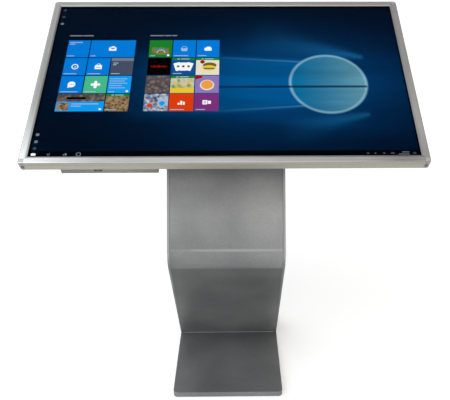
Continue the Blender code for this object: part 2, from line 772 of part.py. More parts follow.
def back_cover(head):
    """A folded pan: a flat rim behind the rails and a raised middle that holds the electronics."""
    front = -HEAD_EDGE_DEPTH - GAP
    rim = front - THIN_STEEL
    cover = finish(
        "head_back_cover",
        block((-0.6195, -0.3553, rim), (0.6195, 0.3553, front)),
        "grey_powder_coat",
        head,
    )
    low, high = (-PAN_HALF_X, -PAN_HALF_U), (PAN_HALF_X, PAN_HALF_U)
    raised = frustum(low, high, 0.010, front - 0.0004, PAN_BACK)
    soften(raised, all_at(2, PAN_BACK), 0.003, 2)
    join(cover, raised)
    sheet = THIN_STEEL
    inner_low, inner_high = [c + sheet for c in low], [c - sheet for c in high]
    cut(cover, frustum(inner_low, inner_high, 0.010, front + 0.005, PAN_BACK + sheet))
    holes = [cylinder(at, BOLT_HOLE, PAN_BACK - 0.01, PAN_BACK + 0.01, sides=16) for at in bolt_places()]
    (x0, u0), (x1, u1) = CABLE_HOLE
    holes.append(block((x0, u0, PAN_BACK - 0.01), (x1, u1, PAN_BACK + 0.01)))
    holes += slot_rows(FAN_AT, 7, 0.0095, 0.062, 0.0045)
    holes += slot_rows((-FAN_AT[0], FAN_AT[1]), 7, 0.0095, 0.062, 0.0045)
    holes += slot_rows((0.0, 0.235), 5, 0.0095, 0.180, 0.0045)
    for x in (-0.40, 0.40):
        holes += slot_rows((x, -0.235), 5, 0.0085, 0.080, 0.004)
    cut(cover, merged(*holes))


def mount_rails(head):
    """Two hat-section rails that carry the panel's weight to the stand's bolts."""
    back, front = PAN_BACK + THIN_STEEL + GAP, -0.0338
    for name, x in (("mount_rail_left", -RAIL_X), ("mount_rail_right", RAIL_X)):
        section = [
            (x - 0.020, front),
            (x - 0.020, back),
            (x + 0.020, back),
            (x + 0.020, front),
            (x + 0.018, front),
            (x + 0.018, back + STEEL),
            (x - 0.018, back + STEEL),
            (x - 0.018, front),
        ]
        rail = finish(name, prism(section, -0.250, 0.250, "Y"), "zinc_steel", head)
        holes = [cylinder((x, u), BOLT_HOLE, back - 0.01, back + 0.01, sides=16) for u in BOLT_U]
        cut(rail, merged(*holes))


def top_flange(head):
    """The plate welded to the column's top, which the head bolts to."""
    high = PAN_BACK - GAP
    low = high - FLANGE_THICKNESS
    outline = rounded_rectangle((-0.185, -0.168), (0.185, 0.088), 0.012, 4)
    plate = finish("column_top_flange", prism(outline, low, high, "Z"), "grey_powder_coat", head)
    holes = [cylinder(at, BOLT_HOLE, low - 0.01, high + 0.01, sides=16) for at in bolt_places()]
    (x0, u0), (x1, u1) = CABLE_HOLE
    holes.append(block((x0, u0, low - 0.01), (x1, u1, high + 0.01)))
    cut(plate, merged(*holes))


def head_bolts(head):
    """Each is a hexagon head with its washer and shank, under the top flange."""
    seat = PAN_BACK - 2 * GAP - FLANGE_THICKNESS
    low = seat - WASHER - HEXAGON_HEIGHT + 2 * GAP
    for number, (x, u) in enumerate(bolt_places(), 1):
        hexagon = cylinder((0, 0), HEXAGON_RADIUS, low, seat - WASHER + GAP, sides=6)
        soften(hexagon, all_at(2, low), 0.0006, 1)
        bolt = finish(f"head_bolt_{number}", hexagon, "zinc_steel", head, (x, u, 0))
        join(bolt, cylinder((0, 0), WASHER_RADIUS, seat - WASHER, seat))
        join(bolt, cylinder((0, 0), BOLT_RADIUS, seat - WASHER / 2, BOLT_END, sides=16))


def fan_blade(turn):
    """A thin pitched blade from the hub to near the housing's wall, turned about the fan's axis."""
    blade = bmesh.new()
    sides = []
    for thickness in (0.0, BLADE_THICKNESS):
        sides.append([blade.verts.new((r, swing + thickness, z)) for r, swing, z in BLADE_CORNERS])
    for ring in sides:
        blade.faces.new(ring)
    for i in range(4):
        after = (i + 1) % 4
        blade.faces.new((sides[0][i], sides[0][after], sides[1][after], sides[1][i]))
    bmesh.ops.triangulate(blade, faces=blade.faces)
    bmesh.ops.rotate(blade, verts=blade.verts, cent=(0, 0, 0), matrix=Matrix.Rotation(turn, 3, "Z"))
    return blade


def fan(head):
    """An 80 mm fan behind the right-hand vents: its frame, and the rotor that spins in it."""
    x, u = FAN_AT
    back = PAN_BACK + THIN_STEEL + GAP
    front = back + FAN_DEPTH
    spoke = front - 0.002
    low, high = (x - FAN_HALF, u - FAN_HALF), (x + FAN_HALF, u + FAN_HALF)
    body = prism(rounded_rectangle(low, high, 0.005, 3), back, front, "Z")
    housing = finish("fan_frame", body, "black_plastic", head)
    cut(housing, cylinder(FAN_AT, FAN_RADIUS, back - CUT, front + CUT, sides=32))
    reach = FAN_HALF - 0.001
    join(housing, block((x - reach, u - 0.0025, spoke), (x + reach, u + 0.0025, front)))
    join(housing, block((x - 0.0025, u - reach, spoke), (x + 0.0025, u + reach, front)))
    join(housing, cylinder(FAN_AT, FAN_HUB, spoke, front))
    hub = cylinder((0, 0), FAN_HUB + 0.0005, 0, 0.0110)
    rotor = finish("fan_rotor", hub, "black_plastic", head, (x, u, back + 0.0010))
    join(rotor, merged(*[fan_blade(2 * pi * i / FAN_BLADES) for i in range(FAN_BLADES)]))


def power_supply(head):
    body = block((-0.105, 0.020, -0.0660), (0.105, 0.130, -0.0360))
    finish("power_supply", soften(body, everywhere, 0.001, 1), "zinc_steel", head)


def control_board(head):
    """The display's own board with its tallest parts."""
    face = -0.0375
    sheet = block((0.200, -0.110, -0.0380), (0.400, 0.050, -0.0364))
    board = finish("control_board", sheet, "circuit_board", head)
    heat_sink = block((0.225, -0.050, -0.0520), (0.275, 0.000, face))
    memory = block((0.310, -0.090, -0.0450), (0.330, -0.020, face))
    sockets = block((0.350, -0.108, -0.0480), (0.395, -0.085, face))
    transformer = block((0.345, 0.000, -0.0440), (0.385, 0.035, face))
    join(board, merged(heat_sink, memory, sockets, transformer))


def mini_computer(head):
    """The computer that runs the screen: a box with cooling fins on its back."""
    body = block((-0.420, -0.110, -0.0720), (-0.220, 0.070, -0.0362))
    computer = finish("mini_computer", soften(body, everywhere, 0.002, 2), "black_plastic", head)
    fins = []
    for i in range(15):
        left = -0.405 + i * 0.0125
        fins.append(block((left, -0.095, -0.0745), (left + 0.005, 0.055, -0.0700)))
    join(computer, merged(*fins))


def cone(centre, low, high, low_radius, high_radius):
    mesh = bmesh.new()
    depth = high - low
    bmesh.ops.create_cone(
        mesh, cap_ends=True, segments=24, radius1=low_radius, radius2=high_radius, depth=depth
    )
    bmesh.ops.translate(mesh, vec=(*centre, low + depth / 2), verts=mesh.verts)
    return mesh


def speaker(name, head, sign):
    """A speaker behind its vents: mounting plate, basket, magnet and the dish of its cone."""
    x, u = SPEAKER_AT[0] * sign, SPEAKER_AT[1]
    low = PAN_BACK + THIN_STEEL + GAP
    outline = rounded_rectangle((x - 0.050, u - 0.023), (x + 0.050, u + 0.023), 0.012, 4)
    made = finish(name, prism(outline, low, low + 0.004, "Z"), "black_plastic", head)
    join(made, cone((x, u), low + 0.0035, low + 0.0175, 0.019, 0.013))
    join(made, cylinder((x, u), 0.017, low + 0.016, low + 0.026))
    cut(made, cone((x, u), low - 0.0005, low + 0.0095, 0.017, 0.006))


def electronics(head):
    """The boxes and boards inside the head, on the panel's back, and the speakers on the cover."""
    power_supply(head)
    control_board(head)
    mini_computer(head)
    speaker("speaker_left", head, -1)
    speaker("speaker_right", head, 1)


# ---------------------------------------------------------------- head: connector box and its flap
def io_box(head):
    """The folded box under the screen's lower left edge. Its mouth faces the user's knees."""
    wall = THIN_STEEL
    box = finish(
        "io_box",
        block((IO_LEFT, IO_MOUTH, IO_BACK), (IO_RIGHT, IO_TOP, IO_FRONT)),
        "grey_powder_coat",
        head,
    )
    cut(
        box,
        block(
            (IO_LEFT + wall, IO_MOUTH - 0.01, IO_BACK + wall),
            (IO_RIGHT - wall, IO_TOP - wall, IO_FRONT - wall),
        ),
    )
    # The back wall stops short, so that the flap's rolled hinge has room to turn.
    cut(
        box,
        block(
            (IO_LEFT + wall, IO_MOUTH - 0.01, IO_BACK - 0.01),
            (IO_RIGHT - wall, FLAP_PIN[0] + 0.0030, IO_BACK + 0.003),
        ),
    )
    # A lip inside the mouth stops the flap and catches the latch.
    join(
        box,
        block(
            (IO_LEFT + wall / 2, -0.3458, IO_FRONT - wall - 0.005),
            (IO_RIGHT - wall / 2, -0.3446, IO_FRONT - wall / 2),
        ),
    )
    cut(box, cylinder(FLAP_PIN, 0.0014, IO_LEFT - 0.01, IO_RIGHT + 0.01, "X", 16))


def io_flap(flap):
    """A plate with its lower edge rolled round the pin, in the pin's frame."""
    wall = THIN_STEEL
    low, high = IO_LEFT + wall + 0.0005, IO_RIGHT - wall - 0.0005
    outer, inner = 0.0024, 0.0014
    reach = IO_FRONT - wall - 0.0005 - FLAP_PIN[1]
    roll_end = radians(460)
    meets_plate = acos((wall - outer) / inner)
    outline = [
        (-outer, reach),
        *arc((0, 0), outer, pi, roll_end, 16),
        *arc((0, 0), inner, roll_end, meets_plate, 16),
        (wall - outer, reach),
    ]
    panel = finish("io_flap", prism(outline, low, high), "grey_powder_coat", flap)
    cut(panel, cylinder((LATCH_X, LATCH_W - FLAP_PIN[1]), 0.0049, -0.01, 0.01, "Y", 20))
    pin = cylinder((0, 0), 0.0011, IO_LEFT - 0.0008, IO_RIGHT + 0.0008, "X", 16)
    finish("io_flap_pin", pin, "zinc_steel", flap)


def flap_latch(latch):
    """A quarter-turn latch. Its frame's origin is on the flap's outer face, with Y into the box."""
    knob = finish(
        "flap_latch_knob", cylinder((0, 0), 0.0075, -0.0015, -GAP, "Y"), "black_plastic", latch
    )
    wing = block((-0.013, -0.0055, -0.0022), (0.013, -0.0011, 0.0022))
    join(knob, soften(wing, lambda a, b: a.y < -0.005 or b.y < -0.005, 0.0008, 2))
    join(knob, cylinder((0, 0), 0.0045, -0.0008, 0.0036, "Y", 16))
    tongue = rounded_rectangle((-0.0295, -0.006), (0.006, 0.006), 0.005, 4)
    finish("flap_latch_cam", prism(tongue, 0.0039, 0.0054, "Y"), "zinc_steel", latch)


def socket_panel(head):
    """The plate inside the connector box: two data sockets, a video socket and the power button's hole."""
    wall = THIN_STEEL + GAP
    low = (IO_LEFT + wall, SOCKET_PANEL_U, IO_BACK + wall)
    high = (IO_RIGHT - wall, SOCKET_PANEL_U + 0.0015, IO_FRONT - wall)
    panel = finish("io_socket_panel", block(low, high), "black_plastic", head)
    middle = (IO_FRONT + IO_BACK) / 2
    cavities = []
    for x, half_x, half_w in SOCKETS:
        shell = block(
            (x - half_x, SOCKET_PANEL_U - 0.004, middle - half_w),
            (x + half_x, SOCKET_PANEL_U + 0.014, middle + half_w),
        )
        join(panel, shell)
        cavities.append(
            block(
                (x - half_x + 0.0009, SOCKET_PANEL_U - 0.01, middle - half_w + 0.0009),
                (x + half_x - 0.0009, SOCKET_PANEL_U + 0.011, middle + half_w - 0.0009),
            )
        )
    cut(panel, merged(*cavities))
    cut(panel, cylinder((BUTTON_X, middle), 0.0083, SOCKET_PANEL_U - CUT, SOCKET_PANEL_U + CUT, "Y", 24))


def power_button(button):
    """A round push button that slides along its frame's Y."""
    cap = cylinder((0, 0), 0.0079, -0.003, 0.006, "Y", 24)
    finish("power_button", soften(cap, all_at(1, -0.003), 0.0008, 2), "silver_plastic", button)


def power_cable(stops):
    """The mains lead inside the column, from the inlet's back to the power supply."""
    curve = bpy.data.curves.new("power_cable", "CURVE")
    curve.dimensions = "3D"
    curve.bevel_depth = 0.0035
    curve.bevel_resolution = 2
    curve.use_fill_caps = True
    spline = curve.splines.new("POLY")
    points = smooth_route(stops)
    spline.points.add(len(points) - 1)
    for target, point in zip(spline.points, points):
        target.co = (*point, 1)
    cable = bpy.data.objects.new("power_cable", curve)
    bpy.context.scene.collection.objects.link(cable)
    curve.materials.append(MATERIALS["rubber"])


def smooth_route(stops, per_span=6):
    """A Catmull-Rom curve through the stops."""
    ends = [2 * stops[0] - stops[1], *stops, 2 * stops[-1] - stops[-2]]
    points = []
    for i in range(1, len(ends) - 2):
        a, b, c, d = ends[i - 1 : i + 3]
        for k in range(per_span):
            t = k / per_span
            square = 2 * a - 5 * b + 4 * c - d
            cube = 3 * b - a - 3 * c + d
            points.append(0.5 * (2 * b + (c - a) * t + square * t**2 + cube * t**3))
    points.append(stops[-1])
    return points


def cable_stops(head_matrix, leg_matrix):
    """Where the cable runs: off the inlet, up the middle of both legs, and through the hole in the head."""
    inlet = ((INLET_V, -0.0262), (INLET_V + 0.003, -0.0400), (INLET_V + 0.030, -0.048))
    stops = [leg_matrix @ Vector((INLET_X + 0.010, v, n)) for v, n in inlet]
    middle = LEG_DEPTH / 2
    for x, below_knee in ((0.060, 0.33), (0.030, 0.12)):
        at = KNEE + INTO_LOWER * middle - UP_LOWER * below_knee
        stops.append(Vector((x, at.x, at.y)))
    knee = (KNEE_CENTRE + back_knee(0)) / 2 - Vector((0.030, 0))
    stops.append(Vector((0.0, knee.x, knee.y)))
    for above_knee in (0.15, 0.32):
        at = KNEE + INTO_UPPER * middle + UP_UPPER * above_knee
        stops.append(Vector((0, at.x, at.y)))
    inside = ((-0.045, -0.100), (-0.040, -0.070), (-0.015, -0.052), (0.0190, -0.051))
    return stops + [head_matrix @ Vector((0, u, w)) for u, w in inside]


# ---------------------------------------------------------------- assembly
def head_frame():
    up = (0, cos(SCREEN_TILT), sin(SCREEN_TILT))
    out = (0, -sin(SCREEN_TILT), cos(SCREEN_TILT))
    return turned(((1, 0, 0), up, out), (0, HEAD_Y, SCREEN_CENTRE_HEIGHT))


def leg_back_frame():
    """On the lower leg's back face, at its foot: local X to the left of the screen's user, Y up the leg."""
    foot = back_point(0, False)
    up = (0, -cos(LOWER_LEG_ANGLE), sin(LOWER_LEG_ANGLE))
    out = (0, sin(LOWER_LEG_ANGLE), cos(LOWER_LEG_ANGLE))
    return turned(((-1, 0, 0), up, out), (0, foot.x, foot.y))


def build_stand():
    base_cover()
    base_plate()
    levelling_feet()
    column_side("column_side_left", -1)
    column_side("column_side_right", 1)
    column_front_skin()
    column_back_upper()
    foot_flange()
    knee_stiffener()


def build_leg_back(matrix):
    leg = frame_empty("leg_back_frame", matrix)
    back_lower_skin(leg)
    power_inlet(leg)
    hinge = frame_empty("door_hinge_axis", matrix @ Matrix.Translation((HINGE_X, 0, HINGE_N)))
    rear_door(hinge)
    door_hinge(hinge)
    door_lock(frame_empty("door_lock_axis", matrix @ Matrix.Translation((LOCK_X, LOCK_V, 0))))
    rest_tilt = Matrix.Rotation(radians(-7), 4, "X")
    pivot = matrix @ Matrix.Translation((ROCKER_X, INLET_V, -0.0025)) @ rest_tilt
    power_rocker(frame_empty("rocker_axis", pivot))


def build_head(matrix):
    head = frame_empty("head_frame", matrix)
    frame(head)
    screen_stack(head)
    back_cover(head)
    mount_rails(head)
    top_flange(head)
    head_bolts(head)
    fan(head)
    electronics(head)
    io_box(head)
    socket_panel(head)
    flap = frame_empty("flap_axis", matrix @ Matrix.Translation((0, *FLAP_PIN)))
    io_flap(flap)
    flap_latch(frame_empty("latch_axis", matrix @ Matrix.Translation((LATCH_X, IO_MOUTH, LATCH_W))))
    middle = (IO_FRONT + IO_BACK) / 2
    button_at = Matrix.Translation((BUTTON_X, SOCKET_PANEL_U, middle))
    power_button(frame_empty("button_axis", matrix @ button_at))


def main():
    clear_scene()
    make_materials()
    build_stand()
    build_leg_back(leg_back_frame())
    build_head(head_frame())
    power_cable(cable_stops(head_frame(), leg_back_frame()))


main()
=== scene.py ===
"""The kiosk's looks: materials for every solid, the lit picture on the screen, and the small fittings.

Metres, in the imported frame's own axes: +Z up, +X to the right of a person who faces the screen, +Y away
from that person. Two local frames hold most of the added pieces: the head's, with Z out of the screen and
Y up it, and the lower leg's back, with Z out of that face and Y up the leg.
"""

import json
from math import cos, pi, radians, sin

import bmesh
import bpy
from mathutils import Matrix, Vector


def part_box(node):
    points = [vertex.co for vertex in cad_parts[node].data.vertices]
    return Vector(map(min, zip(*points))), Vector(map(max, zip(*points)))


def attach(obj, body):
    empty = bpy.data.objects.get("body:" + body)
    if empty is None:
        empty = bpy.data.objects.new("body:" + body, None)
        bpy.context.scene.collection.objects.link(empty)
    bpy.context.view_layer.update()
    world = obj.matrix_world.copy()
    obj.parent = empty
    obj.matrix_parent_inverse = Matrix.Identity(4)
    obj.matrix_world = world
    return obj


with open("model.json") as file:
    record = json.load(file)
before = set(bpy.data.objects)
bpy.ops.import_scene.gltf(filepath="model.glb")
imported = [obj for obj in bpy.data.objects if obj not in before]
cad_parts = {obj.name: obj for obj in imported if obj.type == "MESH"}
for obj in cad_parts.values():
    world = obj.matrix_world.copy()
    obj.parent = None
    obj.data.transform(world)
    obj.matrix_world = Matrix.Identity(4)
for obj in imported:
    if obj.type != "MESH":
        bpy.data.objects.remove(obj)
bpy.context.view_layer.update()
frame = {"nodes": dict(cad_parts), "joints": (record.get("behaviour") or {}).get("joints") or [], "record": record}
nodes = frame["nodes"]

# ---- places on the kiosk
SCREEN_TILT = radians(34.0)
SCREEN_HALF = (0.6048, 0.3402)
GLASS_MIDDLE = -0.0071  # local Z of the glass's middle in the head's frame
PICTURE_Z = -0.00936  # just in front of the display panel, behind the glass
LAYER = 0.00006  # between the picture's layers
HINGE_X, HINGE_V, HINGE_N = 0.15075, 0.32, 0.0045  # the door hinge's pin, in the leg back's frame
LEAF_TOP = 0.0018  # the outer face of the hinge's leaves
INLET_X, INLET_V = -0.085, 0.070  # the mains inlet's middle, in the leg back's frame
SOCKET_X = -0.0765  # the middle of its socket
OUTER_U = 0.3670  # the frame's outer edge, up the screen from its middle
COVER_HALF_U, COVER_RIM_Z = 0.3553, -0.0335  # the back cover's half height, and its rim's back face
RECESS_DEPTH = 0.0026  # of the corner screws' recess
SCREW_W = -0.0185  # the corner screws' place, behind the front face
UP_UPPER_LEG = (0.0, cos(radians(65.4)), sin(radians(65.4)))
UPPER_BEND = 0.4235  # how far along it, from the origin, the painted highlight along the upper bend lies
LOWER_BEND_Z = 0.506  # the height of the round knee's lower end
BASE_TOP = 0.0227
FOOT_FRONT_Y, FOOT_BACK_Y = 0.0457, 0.1507  # where the lower leg's faces meet the base
SEAM_HALF = 0.1910  # half the length of the weld beads there
SEAM_STEPS, SEAM_SIDES = 96, 12

# ---- camera, fitted to the object's corners
CAMERA_AT = (0.0304, -1.9761, 1.5492)
CAMERA_LENS = 46.75
CAMERA_PITCH = radians(23.553)  # downwards
CAMERA_YAW = radians(-0.715)
CAMERA_SHIFT = (-0.0376, -0.0193)

WALLS = 1.40  # the studio walls' brightness
CEILING = 0.17  # the ceiling's
CEILING_LEAN = radians(20.0)  # how far behind the kiosk the dark ceiling's middle lies


def turned(x_axis, y_axis, z_axis, origin):
    rotation = Matrix((x_axis, y_axis, z_axis)).transposed().to_4x4()
    return Matrix.Translation(origin) @ rotation


def head_matrix():
    low, high = (Vector(corner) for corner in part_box("touch_glass"))
    up = Vector((0, cos(SCREEN_TILT), sin(SCREEN_TILT)))
    out = Vector((0, -sin(SCREEN_TILT), cos(SCREEN_TILT)))
    return turned((1, 0, 0), up, out, (low + high) / 2 - out * GLASS_MIDDLE)


def leg_back_matrix():
    hinge = next(joint for joint in frame["joints"] if joint["name"] == "door_hinge")
    across, up = Vector((-1, 0, 0)), Vector(hinge["axis"]).normalized()
    out = across.cross(up)
    origin = Vector(hinge["pos_m"]) - across * HINGE_X - up * HINGE_V - out * HINGE_N
    return turned(across, up, out, origin)


HEAD = head_matrix()
LEG = leg_back_matrix()


# ---- material helpers
class Paint:
    """A material's node tree, with short ways to add to it."""

    def __init__(self, name, colour, roughness, metallic=0.0):
        self.material = bpy.data.materials.new(name)
        self.material.use_nodes = True
        self.tree = self.material.node_tree
        self.shader = self.tree.nodes["Principled BSDF"]
        self.put("Base Color", (*colour, 1.0))
        self.put("Roughness", roughness)
        self.put("Metallic", metallic)
        self.material.diffuse_color = (*colour, 1.0)

    def put(self, socket, value, node=None):
        """Sets a socket of the shader, or of another node, to a value or to another node's output."""
        target = (node or self.shader).inputs[socket]
        if isinstance(value, bpy.types.NodeSocket):
            self.tree.links.new(value, target)
        else:
            target.default_value = value

    def node(self, kind, settings=None, **inputs):
        made = self.tree.nodes.new(kind)
        for key, value in (settings or {}).items():
            setattr(made, key, value)
        for key, value in inputs.items():
            self.put(key.replace("_", " "), value, made)
        return made

    def maths(self, operation, a, b=0.0, c=0.0):
        made = self.node("ShaderNodeMath", {"operation": operation})
        for index, value in enumerate((a, b, c)):
            self.put(index, value, made)
        return made.outputs[0]

    def coordinates(self, turn=(0, 0, 0), scale=(1, 1, 1)):
        """The object's own coordinates, turned and then scaled."""
        place = self.node("ShaderNodeTexCoord").outputs["Object"]
        turned_place = self.node("ShaderNodeMapping", Vector=place, Rotation=turn).outputs[0]
        return self.node("ShaderNodeMapping", Vector=turned_place, Scale=scale).outputs[0]

    def noise(self, place, scale, detail, roughness=0.5):
        made = self.node("ShaderNodeTexNoise", Vector=place, Scale=scale, Detail=detail)
        self.put("Roughness", roughness, made)
        return made.outputs["Fac"]

    def times(self, a, b):
        return self.maths("MULTIPLY", a, b)

    def scaled(self, colour, factor):
        made = self.node("ShaderNodeVectorMath", {"operation": "SCALE"}, Vector=colour, Scale=factor)
        return made.outputs[0]

    def between(self, operation, a, b):
        """The number that a vector operation makes of two vectors."""
        made = self.node("ShaderNodeVectorMath", {"operation": operation})
        self.put(0, a, made)
        self.put(1, b, made)
        return made.outputs["Value"]

    def parts(self, place):
        return self.node("ShaderNodeSeparateXYZ", Vector=place).outputs

    def bell(self, square):
        """1 where square is 0, falling off as a bell curve does."""
        return self.maths("POWER", 2.718, self.times(square, -1.0))

    def span(self, value, low, high, start=0.3, end=0.7):
        """The value, brought from start..end to low..high."""
        made = self.node("ShaderNodeMapRange", Value=value)
        for socket, number in (("From Min", start), ("From Max", end), ("To Min", low), ("To Max", high)):
            self.put(socket, number, made)
        return made.outputs[0]

    def rise(self, value, start, end):
        """0 where the value is at start, 1 where it is at end. Past them it stays the same."""
        return self.span(value, 0.0, 1.0, start, end)

    def blend(self, factor, a, b):
        """A colour between two, each a colour or another node's output."""
        made = self.node("ShaderNodeMix", {"data_type": "RGBA"})
        for socket, value in ((0, factor), (6, a), (7, b)):
            plain = isinstance(value, tuple) and len(value) == 3
            self.put(socket, (*value, 1.0) if plain else value, made)
        return made.outputs[2]

    def bump(self, height, strength, distance, under=None):
        made = self.node("ShaderNodeBump", Height=height, Strength=strength, Distance=distance)
        if under:
            self.put("Normal", under, made)
        return made.outputs[0]


# ---- materials
def outwards(paint, socket):
    """How far a place, or its normal, goes out of the screen."""
    place = paint.node("ShaderNodeTexCoord").outputs[socket]
    return paint.between("DOT_PRODUCT", place, HEAD.col[2].to_3d())


def front_face(paint):
    """1 on the head's flat front face and 0 on its sides, its rounded edge and the grooves in its sides."""
    level = HEAD.translation.dot(HEAD.col[2].to_3d())
    near_front = paint.rise(outwards(paint, "Object"), level - 0.006, level - 0.004)
    return paint.times(paint.rise(outwards(paint, "Normal"), 0.93, 0.998), near_front)


# Painted reflection on the frame's front: patches that are painted brighter or darker than elsewhere. Each gives a
# place, as shares of the screen's half size, how far the patch reaches, and its brightness.
PAINTED_SHEEN = (
    (-1.0, -1.0, 0.22, 1.32),
    (-1.0, -0.3, 0.30, 0.82),
    (-1.0, 0.6, 0.34, 0.93),
    (-0.85, 1.1, 0.16, 1.15),
    (0.05, 1.0, 0.72, 1.24),
    (0.0, -1.0, 0.36, 1.20),
    (0.92, -1.06, 0.15, 0.62),
    (1.0, 0.2, 0.30, 0.95),
)


def painted_rail_gleam(paint):
    """The painted reflection's brightness that the patches of the painted sheen table give a place on the frame.
    """
    place = paint.coordinates()
    sheen = 1.0
    for x, u, reach, brightness in PAINTED_SHEEN:
        middle = HEAD @ Vector((x * SCREEN_HALF[0], u * SCREEN_HALF[1], 0.0))
        near = paint.rise(paint.between("DISTANCE", place, middle), reach, 0.1 * reach)
        sheen = paint.times(sheen, paint.maths("MULTIPLY_ADD", near, brightness - 1.0, 1.0))
    return sheen


def brushed_aluminium(name, along):
    """Anodised aluminium, brushed along one of the head's axes."""
    paint = Paint(name, (0.63, 0.62, 0.60), 0.34, 1.0)
    fine = [1700.0, 1700.0, 1700.0]
    fine[along] = 9.0
    coarse = [260.0, 260.0, 260.0]
    coarse[along] = 3.0
    turn = (-SCREEN_TILT, 0, 0)
    grain = paint.noise(paint.coordinates(turn, fine), 1.0, 4.0, 0.6)
    streaks = paint.noise(paint.coordinates(turn, coarse), 1.0, 3.0, 0.6)
    clouds = paint.noise(paint.coordinates(), 5.0, 2.0)
    tone = paint.blend(paint.span(streaks, 0.0, 1.0), (0.66, 0.655, 0.65), (0.80, 0.79, 0.78))
    tone = paint.blend(paint.span(clouds, 0.0, 0.35), tone, (0.70, 0.71, 0.74))
    # Painted reflection: the frame's tone is scaled by the painted sheen patches.
    tone = paint.scaled(tone, painted_rail_gleam(paint))
    # Painted shade: sides darker and a little warm, the round edge darkest; only the front face stays bright.
    painted_edge_shade = paint.rise(outwards(paint, "Normal"), 0.10, 0.60)
    dull = paint.blend(painted_edge_shade, (0.362, 0.345, 0.300), (0.250, 0.240, 0.215))
    paint.put("Base Color", paint.blend(front_face(paint), dull, tone))
    paint.put("Roughness", paint.span(grain, 0.34, 0.50))
    paint.put("Normal", paint.bump(grain, 0.80, 0.00008, paint.bump(streaks, 0.15, 0.0002)))
    return paint.material


def painted_sheet_shades(paint, place):
    """Painted shade and painted light on the bent sheet's coat, as a factor on its colour.

    It has painted shade under the head, a little more on the left of the knee than on its right, and more just
    below the knee than at the foot; its sides are painted lighter above the knee and darker below it.
    """
    parts = paint.parts(place)
    off_middle, height = paint.maths("ABSOLUTE", parts[0]), parts[2]
    upper = paint.span(height, 1.0, 0.76, 0.69, 0.77)
    upper = paint.times(upper, paint.span(off_middle, 1.0, 1.20, 0.02, 0.14))
    lower = paint.span(height, 1.50, 0.66, 0.03, 0.42)
    lower = paint.times(lower, paint.span(off_middle, 1.0, 0.82, 0.02, 0.14))
    knee = paint.span(parts[0], 0.88, 1.06, -0.17, 0.17)
    above = paint.rise(height, 0.59, 0.64)
    below = paint.rise(height, LOWER_BEND_Z + 0.006, LOWER_BEND_Z - 0.006)
    about = paint.times(paint.maths("SUBTRACT", 1.0, below), paint.rise(height, 0.70, 0.61))
    shade = 1.0
    for zone, inside in ((upper, above), (lower, below), (knee, about)):
        shade = paint.maths("ADD", shade, paint.times(inside, paint.maths("SUBTRACT", zone, 1.0)))
    return shade


def powder_coat(name="powder_coat", bend_highlight=None, rim=False, tint=(1.0, 1.0, 1.0)):
    """Grey metallic powder coat: a fine orange peel with bright flakes in it, and a cloudy sheen.

    A bend highlight, if given, is painted at a place: a direction and how far along it the line lies. The sheet
    that has it also has the painted shade of the bent sheet. With rim, the narrow edge that is folded to the
    front gets painted light where it looks up, a little lighter than the flat sides.
    """
    paint = Paint(name, (0.20, 0.20, 0.205), 0.42, 0.72)
    place = paint.coordinates()
    peel = paint.noise(place, 620.0, 3.0, 0.55)
    grit = paint.noise(place, 2400.0, 2.0, 0.6)
    clouds = paint.noise(place, 4.5, 3.0, 0.45)
    flakes = paint.rise(grit, 0.60, 0.72)
    greys = ((0.150, 0.153, 0.155), (0.212, 0.212, 0.210))
    dull, bright = (tuple(a * b for a, b in zip(tint, grey)) for grey in greys)
    tone = paint.blend(paint.rise(clouds, 0.35, 0.65), dull, bright)
    mottle = paint.span(paint.noise(place, 130.0, 5.0, 0.65), 0.93, 1.07)
    tone = paint.scaled(tone, mottle)
    if rim:
        # Painted light: the narrow front rim is painted lighter where it looks up.
        facing = paint.parts(paint.node("ShaderNodeTexCoord").outputs["Normal"])
        front = paint.rise(paint.times(facing[1], -1.0), 0.5, 0.85)
        front = paint.times(front, paint.rise(facing[2], -0.4, 0.1))
        tone = paint.blend(front, tone, (0.258, 0.258, 0.256))
    if bend_highlight:
        direction, reach = bend_highlight
        along = paint.between("DOT_PRODUCT", place, direction)
        off = paint.maths("ABSOLUTE", paint.maths("SUBTRACT", along, reach))
        # Painted highlight: a patchy light line along the bend, over the sheet's painted shade.
        line = paint.rise(off, 0.0066, 0.0010)
        line = paint.times(line, paint.span(paint.noise(place, 9.0, 3.0), 0.55, 0.15, 0.35, 0.65))
        tone = paint.blend(line, paint.scaled(tone, painted_sheet_shades(paint, place)), (0.340, 0.340, 0.342))
    paint.put("Base Color", paint.blend(flakes, tone, (0.34, 0.34, 0.35)))
    paint.put("Roughness", paint.span(peel, 0.46, 0.60))
    paint.put("Normal", paint.bump(peel, 0.30, 0.00012, paint.bump(grit, 0.20, 0.00004)))
    return paint.material


def plated_steel(name, colour, roughness):
    """Zinc or nickel plate, slightly mottled."""
    paint = Paint(name, colour, roughness, 1.0)
    place = paint.coordinates()
    mottle = paint.noise(place, 160.0, 4.0, 0.65)
    dark = tuple(c * 0.8 for c in colour)
    paint.put("Base Color", paint.blend(paint.span(mottle, 0.0, 1.0), dark, colour))
    paint.put("Roughness", paint.span(mottle, roughness - 0.06, roughness + 0.10))
    paint.put("Normal", paint.bump(paint.noise(place, 900.0, 2.0), 0.12, 0.00006))
    return paint.material


def moulded(name, colour, roughness, texture=0.25, metallic=0.0, side=None):
    """Moulded plastic with a fine spark-eroded texture. side is a darker colour painted off the head's front face,
    as painted shade.
    """
    paint = Paint(name, colour, roughness, metallic)
    place = paint.coordinates()
    grain = paint.noise(place, 1300.0, 2.0)
    light = tuple(min(1.0, c * 1.25 + 0.004) for c in colour)
    tone = paint.blend(paint.span(paint.noise(place, 30.0, 3.0), 0.0, 1.0), colour, light)
    # Painted shade: off the front face the colour is side, when it is given.
    paint.put("Base Color", paint.blend(front_face(paint), side, tone) if side else tone)
    paint.put("Roughness", paint.span(grain, roughness - 0.05, roughness + 0.08))
    paint.put("Normal", paint.bump(grain, texture, 0.00006))
    return paint.material


